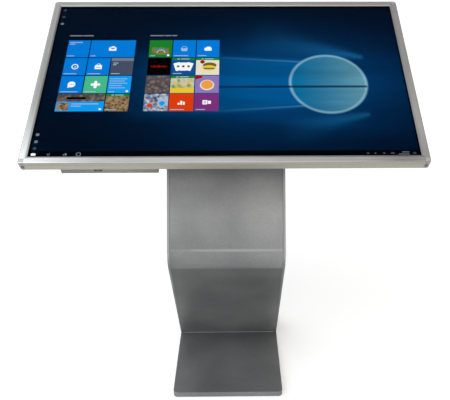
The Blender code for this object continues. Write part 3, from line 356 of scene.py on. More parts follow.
def rubber(name):
    paint = Paint(name, (0.025, 0.025, 0.026), 0.72)
    place = paint.coordinates()
    dust = paint.noise(place, 90.0, 4.0, 0.7)
    dusty = paint.blend(paint.span(dust, 0.0, 0.5), (0.018, 0.018, 0.019), (0.06, 0.058, 0.055))
    paint.put("Base Color", dusty)
    paint.put("Roughness", paint.span(dust, 0.62, 0.82))
    paint.put("Normal", paint.bump(paint.noise(place, 1500.0, 2.0), 0.3, 0.00008))
    return paint.material


def touch_glass():
    """Clear toughened glass with a low-reflection coat and a trace of fingertip smears."""
    paint = Paint("touch_glass", (1.0, 1.0, 1.0), 0.02)
    paint.put("Transmission Weight", 1.0)
    paint.put("IOR", 1.12)
    smears = paint.noise(paint.coordinates((-SCREEN_TILT, 0, 0), (7.0, 16.0, 7.0)), 1.0, 4.0, 0.7)
    paint.put("Roughness", paint.span(smears, 0.0, 0.035, 0.45, 0.75))
    return paint.material


def circuit_board():
    paint = Paint("circuit_board", (0.02, 0.13, 0.05), 0.35)
    place = paint.coordinates((-SCREEN_TILT, 0, 0))
    cells = paint.node("ShaderNodeTexVoronoi", {"distance": "CHEBYCHEV"}, Vector=place, Scale=220.0)
    tracks = paint.rise(cells.outputs["Distance"], 0.5, 0.0)
    paint.put("Base Color", paint.blend(tracks, (0.01, 0.09, 0.035), (0.06, 0.24, 0.09)))
    paint.put("Normal", paint.bump(tracks, 0.3, 0.00008))
    return paint.material


def lit(name, colour):
    """One lit colour of the display's picture."""
    paint = Paint(name, (0.0, 0.0, 0.0), 0.5)
    paint.put("Specular IOR Level", 0.0)
    paint.put("Emission Color", (*colour, 1.0))
    paint.put("Emission Strength", 1.0)
    return paint.material


def lit_picture(name, colours, scale):
    """An abstract picture for a tile: soft patches of a few colours."""
    paint = Paint(name, (0.0, 0.0, 0.0), 0.5)
    paint.put("Specular IOR Level", 0.0)
    place = paint.coordinates()
    cells = paint.node("ShaderNodeTexVoronoi", {"feature": "SMOOTH_F1"}, Vector=place, Scale=scale)
    patches = paint.noise(place, scale * 0.9, 2.0)
    share = paint.rise(patches, 0.35, 0.65)
    picture = paint.blend(share, colours[0], colours[1])
    spots = paint.rise(cells.outputs["Distance"], 0.45, 0.15)
    paint.put("Emission Color", paint.blend(spots, picture, colours[2]))
    paint.put("Emission Strength", 1.0)
    return paint.material


GLOW_AT = (0.345, -0.035)  # the picture's bright disc, on the screen
GLOW_RADIUS = 0.128
HORIZON_U = -0.050


def wallpaper():
    """The picture's ground: a bright disc on a dark blue sky, its light streaming to the left."""
    paint = Paint("screen_wallpaper", (0.0, 0.0, 0.0), 0.5)
    paint.put("Specular IOR Level", 0.0)
    parts = paint.parts(paint.coordinates())
    x, u = parts[0], parts[1]
    dx = paint.maths("SUBTRACT", x, GLOW_AT[0])
    du = paint.maths("SUBTRACT", u, GLOW_AT[1])

    # The sky is lightest a little to the left of the disc, and falls off to its dark edges.
    across = paint.maths("DIVIDE", paint.maths("ADD", dx, 0.16), 0.40)
    upwards = paint.maths("DIVIDE", du, 0.190)
    glow = paint.bell(paint.maths("MULTIPLY_ADD", across, across, paint.times(upwards, upwards)))

    distance = paint.maths("SQRT", paint.maths("MULTIPLY_ADD", dx, dx, paint.times(du, du)))
    disc = paint.rise(distance, GLOW_RADIUS + 0.003, GLOW_RADIUS - 0.003)
    off_rim = paint.maths("ABSOLUTE", paint.maths("SUBTRACT", distance, GLOW_RADIUS))
    rim = paint.rise(off_rim, 0.0075, 0.0010)

    # The stream of light is about three quarters as high as the disc where it leaves it, and widens to the
    # left.
    left = paint.maths("MAXIMUM", paint.times(dx, -1.0), 0.0)
    half_height = paint.maths("MULTIPLY_ADD", left, 0.077, GLOW_RADIUS * 0.72)
    inside = paint.maths("SUBTRACT", half_height, paint.maths("ABSOLUTE", du))
    stream = paint.rise(inside, -0.022, 0.012)
    stream = paint.times(stream, paint.rise(x, -0.36, 0.26))
    stream = paint.times(stream, paint.rise(dx, 0.02, 0.0))
    edge = paint.maths("ABSOLUTE", inside)
    edge = paint.times(paint.rise(edge, 0.006, 0.0), paint.rise(x, -0.05, 0.28))
    edge = paint.times(edge, paint.rise(dx, 0.0, -0.03))

    haze = paint.noise(paint.coordinates(scale=(1.5, 11.0, 1.0)), 1.0, 4.0, 0.6)
    haze = paint.span(haze, 0.72, 1.22)

    def ray(at, turn, length, width):
        """A soft streak that is brightest at its right-hand end."""
        a, b = paint.maths("SUBTRACT", x, at[0]), paint.maths("SUBTRACT", u, at[1])
        along = paint.maths("MULTIPLY_ADD", a, cos(turn), paint.times(b, sin(turn)))
        off = paint.maths("MULTIPLY_ADD", a, -sin(turn), paint.times(b, cos(turn)))
        spread = paint.maths("MULTIPLY_ADD", paint.maths("ABSOLUTE", along), 0.16, width)
        off = paint.maths("DIVIDE", off, spread)
        fade = paint.times(paint.bell(paint.times(off, off)), paint.rise(along, -length, 0.0))
        return paint.times(fade, paint.rise(along, 0.010, -0.004))

    colour = paint.blend(glow, (0.0, 0.0030, 0.0125), (0.0, 0.050, 0.185))
    upper_ray = ray((0.470, 0.085), radians(-14), 0.42, 0.009)
    lower_ray = ray((0.465, -0.170), radians(12), 0.30, 0.008)
    for streak, strength in ((upper_ray, 0.40), (lower_ray, 0.36)):
        colour = paint.blend(paint.times(streak, strength), colour, (0.01, 0.19, 0.45))
    colour = paint.blend(paint.times(stream, 0.68), colour, (0.0, 0.110, 0.330))
    colour = paint.blend(paint.times(edge, 0.30), colour, (0.12, 0.52, 0.72))
    lighter = paint.maths("POWER", paint.rise(dx, -GLOW_RADIUS, GLOW_RADIUS), 1.6)
    teal = paint.blend(lighter, (0.0, 0.140, 0.310), (0.11, 0.30, 0.38))
    colour = paint.blend(disc, colour, teal)
    colour = paint.blend(paint.times(rim, 0.55), colour, (0.30, 0.62, 0.75))

    # A thin dark horizon crosses the disc and its light.
    off_line = paint.maths("ABSOLUTE", paint.maths("SUBTRACT", u, HORIZON_U))
    line = paint.rise(off_line, 0.0070, 0.0028)
    line = paint.times(line, paint.span(x, 0.35, 1.0, -0.35, 0.15))
    line = paint.times(line, paint.rise(x, 0.478, 0.470))
    colour = paint.blend(paint.times(line, 0.85), colour, (0.0, 0.010, 0.040))
    paint.put("Emission Color", colour)
    paint.put("Emission Strength", haze)
    return paint.material


# ---- mesh helpers
FULL_TURN = 2 * pi


def linked(name, data, matrix, body):
    """Puts a mesh in the scene as a piece that rides on a body."""
    obj = bpy.data.objects.new(name, data)
    bpy.context.scene.collection.objects.link(obj)
    obj.matrix_world = matrix
    bpy.context.view_layer.update()
    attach(obj, body)


def piece(name, mesh, material, matrix, body, smooth=35):
    """Makes a piece of a mesh in one material. Faces that meet at under smooth degrees look smooth."""
    bmesh.ops.recalc_face_normals(mesh, faces=mesh.faces)
    data = bpy.data.meshes.new(name)
    mesh.to_mesh(data)
    mesh.free()
    data.materials.append(material)
    data.shade_smooth()
    data.set_sharp_from_angle(angle=radians(smooth))
    linked(name, data, matrix, body)


def disc_points(centre, radius, sides, start=0.0, turn=FULL_TURN):
    """Points round a centre. A full turn leaves out the last, which is the first."""
    steps = sides if turn == FULL_TURN else sides - 1
    angles = [start + turn * i / steps for i in range(sides)]
    return [(centre[0] + radius * cos(t), centre[1] + radius * sin(t)) for t in angles]


def rounded(low, high, radius):
    """A rectangle's outline with round corners of four points each."""
    (x0, y0), (x1, y1) = low, high
    corners = ((x1, y0, -pi / 2), (x1, y1, 0), (x0, y1, pi / 2), (x0, y0, pi))
    outline = []
    for x, y, start in corners:
        inner = (x - radius if x == x1 else x + radius, y - radius if y == y1 else y + radius)
        outline += disc_points(inner, radius, 4, start, pi / 2)
    return outline


def turned_shape(mesh, profile, sides, centre=(0, 0)):
    """Adds a shape turned round an axis along local Z. Its profile's points are (radius, height)."""
    rings = []
    for radius, height in profile:
        if radius < 1e-7:
            rings.append([mesh.verts.new((centre[0], centre[1], height))] * sides)
        else:
            rings.append([mesh.verts.new((a, b, height)) for a, b in disc_points(centre, radius, sides)])
    for low, high in zip(rings, rings[1:]):
        for i in range(sides):
            after = (i + 1) % sides
            corners = []
            for vertex in (low[i], low[after], high[after], high[i]):
                if vertex not in corners:
                    corners.append(vertex)
            if len(corners) > 2:
                mesh.faces.new(corners)


def box_shape(mesh, low, high):
    size = [b - a for a, b in zip(low, high)]
    middle = [(a + b) / 2 for a, b in zip(low, high)]
    bmesh.ops.create_cube(mesh, size=1.0, matrix=Matrix.Translation(middle) @ Matrix.Diagonal((*size, 1)))


# ---- the screen's picture
TILE = 0.080
PITCH = 0.0835
GROUP_TOP = 0.1645
GROUP_LEFT = (-0.558, -0.270)
GRID_TOP = 0.1712  # where the even grid above really begins, and each group's left edge and pitch
GRID_LEFT = (-0.5533, -0.2677)
GRID_PITCH = (0.0799, 0.0829)
ROW_PITCH, ROW_SHRINK = 0.0867, 0.0030  # the rows get closer towards the bottom
TASKBAR_TOP = -0.3145
BORDER = 0.0025  # the black margin between the picture and the glass's edge
BADGE = 0.0045  # the radius of the dot in a tile's corner
ICON_SCALE = 0.90
ROUND_SIDES = 20


def grid_place(x, u):
    """A point of the even grid of tiles, moved to its place on the screen."""
    group = 0 if x < (GROUP_LEFT[1] + GROUP_LEFT[0] + 3 * PITCH) / 2 else 1
    down = (GROUP_TOP - u) / PITCH
    x = GRID_LEFT[group] + (x - GROUP_LEFT[group]) * GRID_PITCH[group] / PITCH
    return x, GRID_TOP - ROW_PITCH * down + ROW_SHRINK * down * (down - 1) / 2


class Picture:
    """Flat shapes in the head's frame, each with its own lit colour and layer."""

    def __init__(self):
        self.mesh = bmesh.new()
        self.slots = []
        self.on_grid = False
        self.shrink = None  # a centre and a scale, for icons

    def index(self, material):
        if material not in self.slots:
            self.slots.append(material)
        return self.slots.index(material)

    def shape(self, outline, material, layer):
        height = PICTURE_Z + LAYER * layer
        if self.shrink:
            a, b, scale = self.shrink
            outline = [(a + (x - a) * scale, b + (u - b) * scale) for x, u in outline]
        if self.on_grid:
            outline = [grid_place(x, u) for x, u in outline]
        face = self.mesh.faces.new([self.mesh.verts.new((x, u, height)) for x, u in outline])
        face.material_index = self.index(material)

    def area(self, low, high, material, layer):
        (x0, u0), (x1, u1) = low, high
        self.shape(((x0, u0), (x1, u0), (x1, u1), (x0, u1)), material, layer)

    def disc(self, centre, radius, material, layer, sides=ROUND_SIDES):
        self.shape(disc_points(centre, radius, sides), material, layer)

    def ring(self, centre, radius, width, material, layer, start=0.0, turn=FULL_TURN):
        outer = disc_points(centre, radius, ROUND_SIDES, start, turn)
        inner = disc_points(centre, radius - width, ROUND_SIDES, start, turn)
        for i in range(ROUND_SIDES if turn == FULL_TURN else ROUND_SIDES - 1):
            after = (i + 1) % ROUND_SIDES
            self.shape((outer[i], outer[after], inner[after], inner[i]), material, layer)

    def bars(self, left, top, widths, height, material, layer, pitch=0.0):
        """Short bars, a pitch under each other, where a caption or a paragraph would be."""
        for i, width in enumerate(widths):
            high = top - i * pitch
            self.area((left, high - height), (left + width, high), material, layer)

    def finish(self):
        for face in self.mesh.faces:
            if face.normal.z < 0:
                face.normal_flip()
        data = bpy.data.meshes.new("screen_picture")
        self.mesh.to_mesh(data)
        self.mesh.free()
        for material in self.slots:
            data.materials.append(material)
        linked("screen_picture", data, HEAD, "stand")


def tile_corner(group, column, row):
    """A tile's lower left corner."""
    return GROUP_LEFT[group] + column * PITCH, GROUP_TOP - row * PITCH - TILE


def screen_colours():
    """The lit materials of the picture's shapes, plain and patterned, by name."""
    plain = {
        "black": (0.0, 0.0, 0.0),
        "taskbar": (0.0, 0.0006, 0.0018),
        "blue": (0.0, 0.190, 0.680),
        "sky": (0.004, 0.320, 0.850),
        "grey": (0.058, 0.074, 0.125),
        "green": (0.060, 0.470, 0.260),
        "leaf": (0.010, 0.210, 0.020),
        "navy": (0.006, 0.075, 0.300),
        "cream": (0.78, 0.74, 0.56),
        "yellow": (0.80, 0.56, 0.03),
        "orange": (0.87, 0.34, 0.05),
        "red": (0.70, 0.045, 0.003),
        "bronze": (0.14, 0.11, 0.03),
        "crimson": (0.33, 0.004, 0.006),
        "violet": (0.26, 0.19, 0.50),
        "magenta": (0.19, 0.030, 0.20),
        "white": (0.90, 0.94, 0.96),
        "soft_white": (0.36, 0.50, 0.66),
        "faint": (0.16, 0.20, 0.26),
        "soft_grey": (0.21, 0.23, 0.26),
        "dim": (0.055, 0.060, 0.080),
    }
    patterned = {
        "woods": (95.0, (0.20, 0.125, 0.06), (0.38, 0.26, 0.13), (0.05, 0.03, 0.02)),
        "stone": (70.0, (0.11, 0.09, 0.085), (0.055, 0.050, 0.055), (0.20, 0.16, 0.14)),
        "meadow": (55.0, (0.02, 0.20, 0.02), (0.16, 0.22, 0.05), (0.32, 0.13, 0.05)),
        "town": (95.0, (0.03, 0.04, 0.08), (0.55, 0.58, 0.64), (0.12, 0.20, 0.42)),
        "field": (65.0, (0.55, 0.60, 0.52), (0.62, 0.45, 0.06), (0.12, 0.30, 0.12)),
    }
    paint = {name: lit(f"screen_{name}", colour) for name, colour in plain.items()}
    for name, (scale, *colours) in patterned.items():
        paint[name] = lit_picture(f"screen_{name}", colours, scale)
    return paint


def envelope(picture, paint, x, u):
    picture.area((x - 0.015, u - 0.010), (x + 0.015, u + 0.006), paint["white"], 2)
    picture.shape(((x - 0.015, u + 0.007), (x + 0.015, u + 0.007), (x, u + 0.014)), paint["white"], 2)
    picture.shape(((x - 0.011, u + 0.004), (x, u - 0.004), (x + 0.011, u + 0.004)), paint["blue"], 3)


def compass(picture, paint, x, u):
    picture.ring((x, u), 0.014, 0.004, paint["white"], 2)
    needle = ((x - 0.006, u - 0.006), (x + 0.002, u - 0.002), (x + 0.007, u + 0.007))
    picture.shape(needle, paint["white"], 2)


def shop_bag(picture, paint, x, u):
    picture.area((x - 0.014, u - 0.013), (x + 0.014, u + 0.007), paint["white"], 2)
    picture.ring((x, u + 0.007), 0.0085, 0.0025, paint["white"], 2, 0.0, pi)
    picture.area((x - 0.009, u - 0.005), (x + 0.009, u - 0.002), paint["blue"], 3)


def bubble(picture, paint, x, u):
    picture.disc((x, u + 0.001), 0.0150, paint["white"], 2)
    tail = ((x - 0.013, u - 0.004), (x - 0.002, u - 0.012), (x - 0.014, u - 0.017))
    picture.shape(tail, paint["white"], 2)
    for step in (-1, 0, 1):
        picture.disc((x + step * 0.0075, u + 0.001), 0.0022, paint["blue"], 3, 10)


def plus(picture, paint, x, u):
    for low, high in (((-0.006, -0.019), (0.006, 0.019)), ((-0.019, -0.006), (0.019, 0.006))):
        outline = rounded((x + low[0], u + low[1]), (x + high[0], u + high[1]), 0.005)
        picture.shape(outline, paint["white"], 2 if low[0] > low[1] else 3)


def basket(picture, paint, x, u):
    bowl = ((x - 0.014, u + 0.002), (x - 0.010, u - 0.013), (x + 0.010, u - 0.013), (x + 0.014, u + 0.002))
    picture.shape(bowl, paint["soft_white"], 2)
    picture.ring((x, u + 0.002), 0.011, 0.0022, paint["soft_white"], 2, 0.0, pi)


def case(picture, paint, x, u):
    picture.shape(rounded((x - 0.014, u - 0.011), (x + 0.014, u + 0.005), 0.003), paint["white"], 2)
    picture.area((x - 0.006, u + 0.005), (x + 0.010, u + 0.010), paint["white"], 2)


def bar_row(picture, paint, x, u):
    """A row of red bars, like a sound's level."""
    for i, height in enumerate((0.006, 0.011, 0.008, 0.013, 0.007, 0.010, 0.005)):
        left = x - 0.031 + i * 0.0092
        picture.area((left, u - height / 2), (left + 0.0055, u + height / 2), paint["crimson"], 2)


def card_fan(picture, paint, x, u):
    for step in (-1, 0, 1):
        turn = Matrix.Rotation(radians(-16 * step), 2)
        card = rounded((-0.0130, -0.0220), (0.0130, 0.0200), 0.003)
        card = [turn @ Vector(corner) for corner in card]
        picture.shape([(x + step * 0.021 + a, u + b) for a, b in card], paint["white"], 2 + step + 1)
        picture.disc((x + step * 0.020, u), 0.0055, paint["leaf"] if step else paint["crimson"], 5, 10)


def beetle_shell(picture, paint, x, u):
    """A yellow oval with a dark band and a dark back, on cream."""
    oval = [(x + 0.006 + 0.026 * a, u - 0.008 + 0.014 * b) for a, b in disc_points((0, 0), 1.0, 24)]
    picture.shape([(a + 0.002, b + 0.014) for a, b in oval], paint["bronze"], 2)
    picture.shape(oval, paint["yellow"], 3)
    picture.area((x - 0.014, u - 0.014), (x + 0.026, u - 0.008), paint["grey"], 4)
    picture.disc((x - 0.020, u + 0.023), 0.009, paint["crimson"], 3)


def sunrise(picture, paint, x, u):
    picture.disc((x, u - 0.004), 0.027, paint["cream"], 2, 28)
    picture.disc((x, u - 0.002), 0.022, paint["orange"], 3, 28)


def chart(picture, paint, x, u):
    for i, height in enumerate((0.010, 0.020, 0.015)):
        left = x - 0.013 + i * 0.0095
        picture.area((left, u - 0.012), (left + 0.0070, u - 0.012 + height), paint["white"], 2)


def note(picture, paint, x, u):
    picture.shape(rounded((x - 0.015, u - 0.011), (x + 0.003, u + 0.011), 0.002), paint["white"], 2)
    picture.area((x + 0.005, u - 0.008), (x + 0.016, u + 0.008), paint["white"], 2)
    for step in (-1, 0, 1):
        line = u + step * 0.005
        picture.area((x - 0.011, line - 0.001), (x - 0.001, line + 0.001), paint["magenta"], 3)


def plain_tiles(picture, paint):
    """The tiles with their icons, and a plain bar where each caption would be.

    A tile's row gives its group, column and row, how many columns it takes, its colour, its icon and its
    caption's length.
    """
    tiles = (
        (0, 0, 0, 1, "blue", None, 0.025),
        (0, 1, 0, 2, "blue", envelope, 0.018),
        (0, 0, 1, 1, "blue", compass, 0.045),
        (0, 1, 1, 1, "blue", shop_bag, 0.045),
        (0, 2, 1, 1, "grey", None, 0.030),
        (0, 0, 2, 1, "blue", bubble, 0.060),
        (0, 1, 2, 1, "green", plus, 0.040),
        (0, 2, 2, 1, "sky", None, 0.020),
        (0, 0, 3, 2, "sky", None, 0.025),
        (0, 2, 3, 1, "woods", None, 0.035),
        (1, 0, 0, 1, "leaf", None, 0.018),
        (1, 1, 0, 1, "blue", basket, 0.050),
        (1, 2, 0, 1, "blue", case, 0.030),
        (1, 0, 1, 1, "black", bar_row, 0.0),
        (1, 1, 1, 1, "navy", card_fan, 0.030),
        (1, 2, 1, 1, "cream", beetle_shell, 0.0),
        (1, 0, 2, 1, "stone", None, 0.0),
        (1, 1, 2, 1, "field", None, 0.0),
        (1, 2, 2, 1, "violet", sunrise, 0.0),
        (1, 0, 3, 1, "town", None, 0.0),
        (1, 1, 3, 1, "red", chart, 0.045),
        (1, 2, 3, 1, "magenta", note, 0.030),
    )
    for group, column, row, wide, ground, icon, caption in tiles:
        x, u = tile_corner(group, column, row)
        right = x + (wide - 1) * PITCH + TILE
        picture.area((x, u), (right, u + TILE), paint[ground], 1)
        if icon:
            picture.shrink = ((x + right) / 2, u + TILE / 2, ICON_SCALE)
            icon(picture, paint, (x + right) / 2, u + TILE / 2)
            picture.shrink = None
        if caption:
            picture.bars(x + 0.005, u + 0.0085, (caption,), 0.0032, paint["soft_white"], 2)


def tile_details(picture, paint):
    """What the picture tiles and the text tiles hold besides an icon."""
    x, u = tile_corner(0, 0, 0)
    picture.bars(x + 0.006, u + 0.072, (0.046, 0.020), 0.0035, paint["soft_white"], 2, 0.008)
    x, u = tile_corner(0, 2, 1)
    picture.area((x, u + 0.066), (x + TILE, u + TILE), paint["faint"], 2)
    picture.bars(x + 0.008, u + 0.058, (0.018, 0.012), 0.0035, paint["soft_white"], 2, 0.008)
    x, u = tile_corner(0, 2, 2)
    lengths = (0.060, 0.052, 0.062, 0.044, 0.055)
    picture.bars(x + 0.005, u + 0.068, lengths, 0.0028, paint["soft_white"], 2, 0.0105)
    picture.disc((x + 0.069, u + 0.009), BADGE, paint["white"], 2, 12)
    x, u = tile_corner(0, 0, 3)
    picture.area((x, u + 0.045), (x + PITCH + TILE, u + TILE), paint["stone"], 2)
    picture.area((x + 0.032, u + 0.056), (x + 0.098, u + 0.066), paint["black"], 3)
    picture.area((x + 0.004, u + 0.004), (x + 0.044, u + 0.040), paint["woods"], 2)
    picture.bars(x + 0.052, u + 0.036, (0.092, 0.034), 0.0036, paint["soft_white"], 3, 0.010)
    picture.disc((x + 0.152, u + 0.010), BADGE, paint["white"], 2, 12)
    for group, column, row in ((0, 2, 3), (1, 1, 1), (1, 1, 2), (1, 2, 1)):
        x, u = tile_corner(group, column, row)
        picture.area((x, u + 0.069), (x + TILE, u + TILE), paint["leaf"], 2)
        picture.bars(x + 0.018, u + 0.0765, (0.008,), 0.004, paint["soft_white"], 3)
        picture.bars(x + 0.030, u + 0.0765, (0.030,), 0.0035, paint["soft_white"], 3)
    x, u = tile_corner(1, 0, 0)
    picture.area((x + 0.010, u + 0.012), (x + 0.070, u + 0.046), paint["meadow"], 2)
    picture.ring((x + 0.042, u + 0.020), 0.024, 0.004, paint["faint"], 3, 0.0, pi)
    picture.ring((x + 0.042, u + 0.020), 0.016, 0.004, paint["soft_white"], 3, 0.0, pi)
    picture.disc((x + 0.068, u + 0.009), BADGE, paint["white"], 2, 12)
    x, u = tile_corner(1, 1, 2)
    picture.area((x, u), (x + TILE, u + 0.022), paint["yellow"], 2)
    x, u = tile_corner(1, 0, 3)
    picture.area((x + 0.046, u + 0.026), (x + TILE, u + 0.056), paint["soft_white"], 2)
    picture.disc((x + 0.060, u + 0.036), 0.010, paint["sky"], 3)
    picture.disc((x + 0.020, u + 0.026), 0.009, paint["red"], 3)
    x, u = tile_corner(1, 2, 2)
    corner = ((x, u + TILE), (x, u + 0.062), (x + 0.022, u + 0.070), (x + 0.024, u + TILE))
    picture.shape(corner, paint["crimson"], 4)


def headings(picture, paint):
    """A bar in a few segments over each group of tiles, where its name would be."""
    for left, widths in ((GROUP_LEFT[0], (0.046, 0.038)), (GROUP_LEFT[1] - 0.001, (0.050, 0.022, 0.018))):
        for width in widths:
            picture.bars(left, GROUP_TOP + 0.0245, (width,), 0.0050, paint["soft_grey"], 2)
            left += width + 0.003


def desktop_marks(picture, paint):
    """The task bar with its marks, and the small marks down the left edge."""
    half_x, half_u = SCREEN_HALF[0] - BORDER, SCREEN_HALF[1] - BORDER
    picture.area((-half_x, -half_u), (half_x, TASKBAR_TOP), paint["taskbar"], 1)
    middle = (TASKBAR_TOP - half_u) / 2
    picture.shape(rounded((-0.598, middle - 0.0046), (-0.583, middle + 0.0046), 0.003), paint["white"], 2)
    for low, high in (((-0.003, 0.003), (0.0, -0.004)), ((0.005, 0.005), (0.002, -0.004))):
        ends = [(-0.546 + a, middle + b) for a, b in (low, high)]
        back = [(a + 0.002, b) for a, b in reversed(ends)]
        picture.shape(ends + back, paint["soft_grey"], 2)
    picture.area((-0.499, middle - 0.004), (-0.496, middle + 0.001), paint["soft_grey"], 2)
    picture.area((-0.494, middle - 0.004), (-0.488, middle + 0.004), paint["soft_grey"], 2)
    picture.ring((-0.452, middle), 0.0078, 0.0022, paint["soft_grey"], 2)
    for x, width in ((0.439, 0.007), (0.462, 0.006), (0.489, 0.007), (0.513, 0.012)):
        picture.area((x, middle - 0.003), (x + width, middle + 0.003), paint["dim"], 2)
    for offset, width in ((0.004, 0.022), (-0.004, 0.034)):
        line = middle + offset
        picture.area((0.571 - width, line - 0.0014), (0.571, line + 0.0014), paint["faint"], 2)
    picture.area((0.583, middle - 0.003), (0.592, middle + 0.003), paint["dim"], 2)
    upper_marks = ((0.328, "dim"), (0.292, "dim"), (0.256, "faint"))
    lower_marks = ((-0.249, "soft_grey"), (-0.277, "faint"), (-0.303, "dim"))
    for u, tone in upper_marks + lower_marks:
        picture.shape(rounded((-0.596, u - 0.005), (-0.585, u + 0.005), 0.003), paint[tone], 2)


def screen_picture():
    paint = screen_colours()
    picture = Picture()
    half_x, half_u = SCREEN_HALF[0] - BORDER, SCREEN_HALF[1] - BORDER
    edge_x, edge_u = SCREEN_HALF[0] + 0.004, SCREEN_HALF[1] + 0.004
    picture.area((-half_x, -half_u), (half_x, half_u), wallpaper(), 0)
    for low, high in (
        ((-edge_x, half_u), (edge_x, edge_u)),
        ((-edge_x, -edge_u), (edge_x, -half_u)),
        ((-edge_x, -half_u), (-half_x, half_u)),
        ((half_x, -half_u), (edge_x, half_u)),
    ):
        picture.area(low, high, paint["black"], 0)
    picture.on_grid = True
    plain_tiles(picture, paint)
    tile_details(picture, paint)
    headings(picture, paint)
    picture.on_grid = False
    desktop_marks(picture, paint)
    picture.finish()


# ---- small fittings
COVER_SCREW = (0.0036, 0.0020)  # the heads' radius and height
HINGE_SCREW = (0.0032, 0.0008)
INLET_SCREW = (0.0022, 0.0010)


def cross_head(mesh, centre, radius, height):
    """A screw's head on local Z = 0, with a cross in a round recess."""
    profile = (
        (0.0, -0.0002),
        (radius, -0.0002),
        (radius, height * 0.35),
        (radius * 0.86, height * 0.78),
        (radius * 0.52, height),
        (radius * 0.50, height * 0.45),
        (0.0, height * 0.30),
    )
    turned_shape(mesh, profile, 20, centre)
    for low, high in (((-0.42, -0.11), (0.42, 0.11)), ((-0.11, -0.42), (0.11, 0.42))):
        bar = [centre[i] + low[i] * radius for i in (0, 1)]
        end = [centre[i] + high[i] * radius for i in (0, 1)]
        box_shape(mesh, (*bar, height * 0.20), (*end, height * 0.55))


def back_cover_screws(steel):
    """Screws through the back cover's rim into the rails."""
    low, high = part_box("head_back_cover")
    half_x = (high[0] - low[0]) / 2 - 0.012
    half_u = COVER_HALF_U - 0.014
    mesh = bmesh.new()
    backwards = HEAD @ Matrix.Translation((0, 0, COVER_RIM_Z)) @ Matrix.Rotation(pi, 4, "X")
    for i in range(7):
        x = -half_x + 2 * half_x * i / 6
        for u in (-half_u, half_u):
            cross_head(mesh, (x, u), *COVER_SCREW)
    for i in range(1, 4):
        u = -half_u + 2 * half_u * i / 4
        for x in (-half_x, half_x):
            cross_head(mesh, (x, u), *COVER_SCREW)
    piece("back_cover_screws", mesh, steel, backwards, "stand")


def hinge_screws(steel):
    """Low screw heads on both leaves of the door's hinge."""
    for name, side, body in (("hinge_screws_fixed", 1, "stand"), ("hinge_screws_moving", -1, "door")):
        mesh = bmesh.new()
        for v in (0.19, 0.26, 0.38, 0.45):
            cross_head(mesh, (side * 0.0150, v), *HINGE_SCREW)
        place = LEG @ Matrix.Translation((HINGE_X, 0, LEAF_TOP))
        piece(name, mesh, steel, place, body)


def inlet_fittings(steel):
    """The mains inlet's two screws, and the three blades in its socket."""
    mesh = bmesh.new()
    for x in (-0.0265, 0.0265):
        cross_head(mesh, (INLET_X + x, INLET_V), *INLET_SCREW)
    piece("inlet_screws", mesh, steel, LEG @ Matrix.Translation((0, 0, 0.003)), "stand")
    mesh = bmesh.new()
    for side, rise in ((-0.0070, -0.0020), (0.0, 0.0020), (0.0070, -0.0020)):
        x, v = SOCKET_X + side, INLET_V + rise
        box_shape(mesh, (x - 0.001, v - 0.002, -0.0139), (x + 0.001, v + 0.002, -0.0020))
    bmesh.ops.bevel(mesh, geom=mesh.edges[:], offset=0.0004, segments=2, affect="EDGES")
    piece("inlet_blades", mesh, steel, LEG, "stand")


def recess_shade_washers(plastic):
    """A black cup washer round each corner screw, from the bottom of its recess to a lip over its edge; its black
    paints the shade in the recess.
    """
    profile = [
        (0.00285, 0.0001),
        (0.0039, 0.0001),
        (0.0039, RECESS_DEPTH),
        (0.0048, RECESS_DEPTH),
        (0.0048, RECESS_DEPTH + 0.0003),
        (0.0043, RECESS_DEPTH + 0.0007),
        (0.0036, RECESS_DEPTH + 0.0006),
        (0.00285, 0.0012),
        (0.00285, 0.0001),
    ]
    for vertical, su in (("top", 1), ("bottom", -1)):
        for side in ("left", "right"):
            corner = f"{vertical}_{side}"
            low, high = (Vector(end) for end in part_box(f"corner_screw_{corner}"))
            middle = HEAD.inverted() @ ((low + high) / 2)
            place = Matrix.Translation((middle.x, su * (OUTER_U - RECESS_DEPTH), SCREW_W))
            mesh = bmesh.new()
            turned_shape(mesh, profile, 28)
            bmesh.ops.remove_doubles(mesh, verts=mesh.verts, dist=1e-6)
            place = HEAD @ place @ Matrix.Rotation(-su * pi / 2, 4, "X")
            piece(f"recess_shade_washer_{corner}", mesh, plastic, place, "stand")


def foot_seams(coat):
    """Painted weld beads where the column's front and back faces meet the base."""
    front = ("foot_seam_front", FOOT_FRONT_Y - 0.0050, 0.0028)
    back = ("foot_seam_back", FOOT_BACK_Y + 0.0016, 0.0026)
    for name, y, radius in (front, back):
        mesh = bmesh.new()
        rings = []
        for i in range(SEAM_STEPS + 1):
            x = -SEAM_HALF + 2 * SEAM_HALF * i / SEAM_STEPS
            swell = radius * (1 + 0.05 * sin(i * 2.3) + 0.03 * sin(i * 0.9))
            points = disc_points((y, BASE_TOP + radius), swell, SEAM_SIDES)
            rings.append([mesh.verts.new((x, a, b)) for a, b in points])
        for low, high in zip(rings, rings[1:]):
            for k in range(SEAM_SIDES):
                after = (k + 1) % SEAM_SIDES
                mesh.faces.new((low[k], low[after], high[after], high[k]))
        mesh.faces.new(rings[0])
        mesh.faces.new(rings[-1])
        piece(name, mesh, coat, Matrix(), "stand", smooth=60)


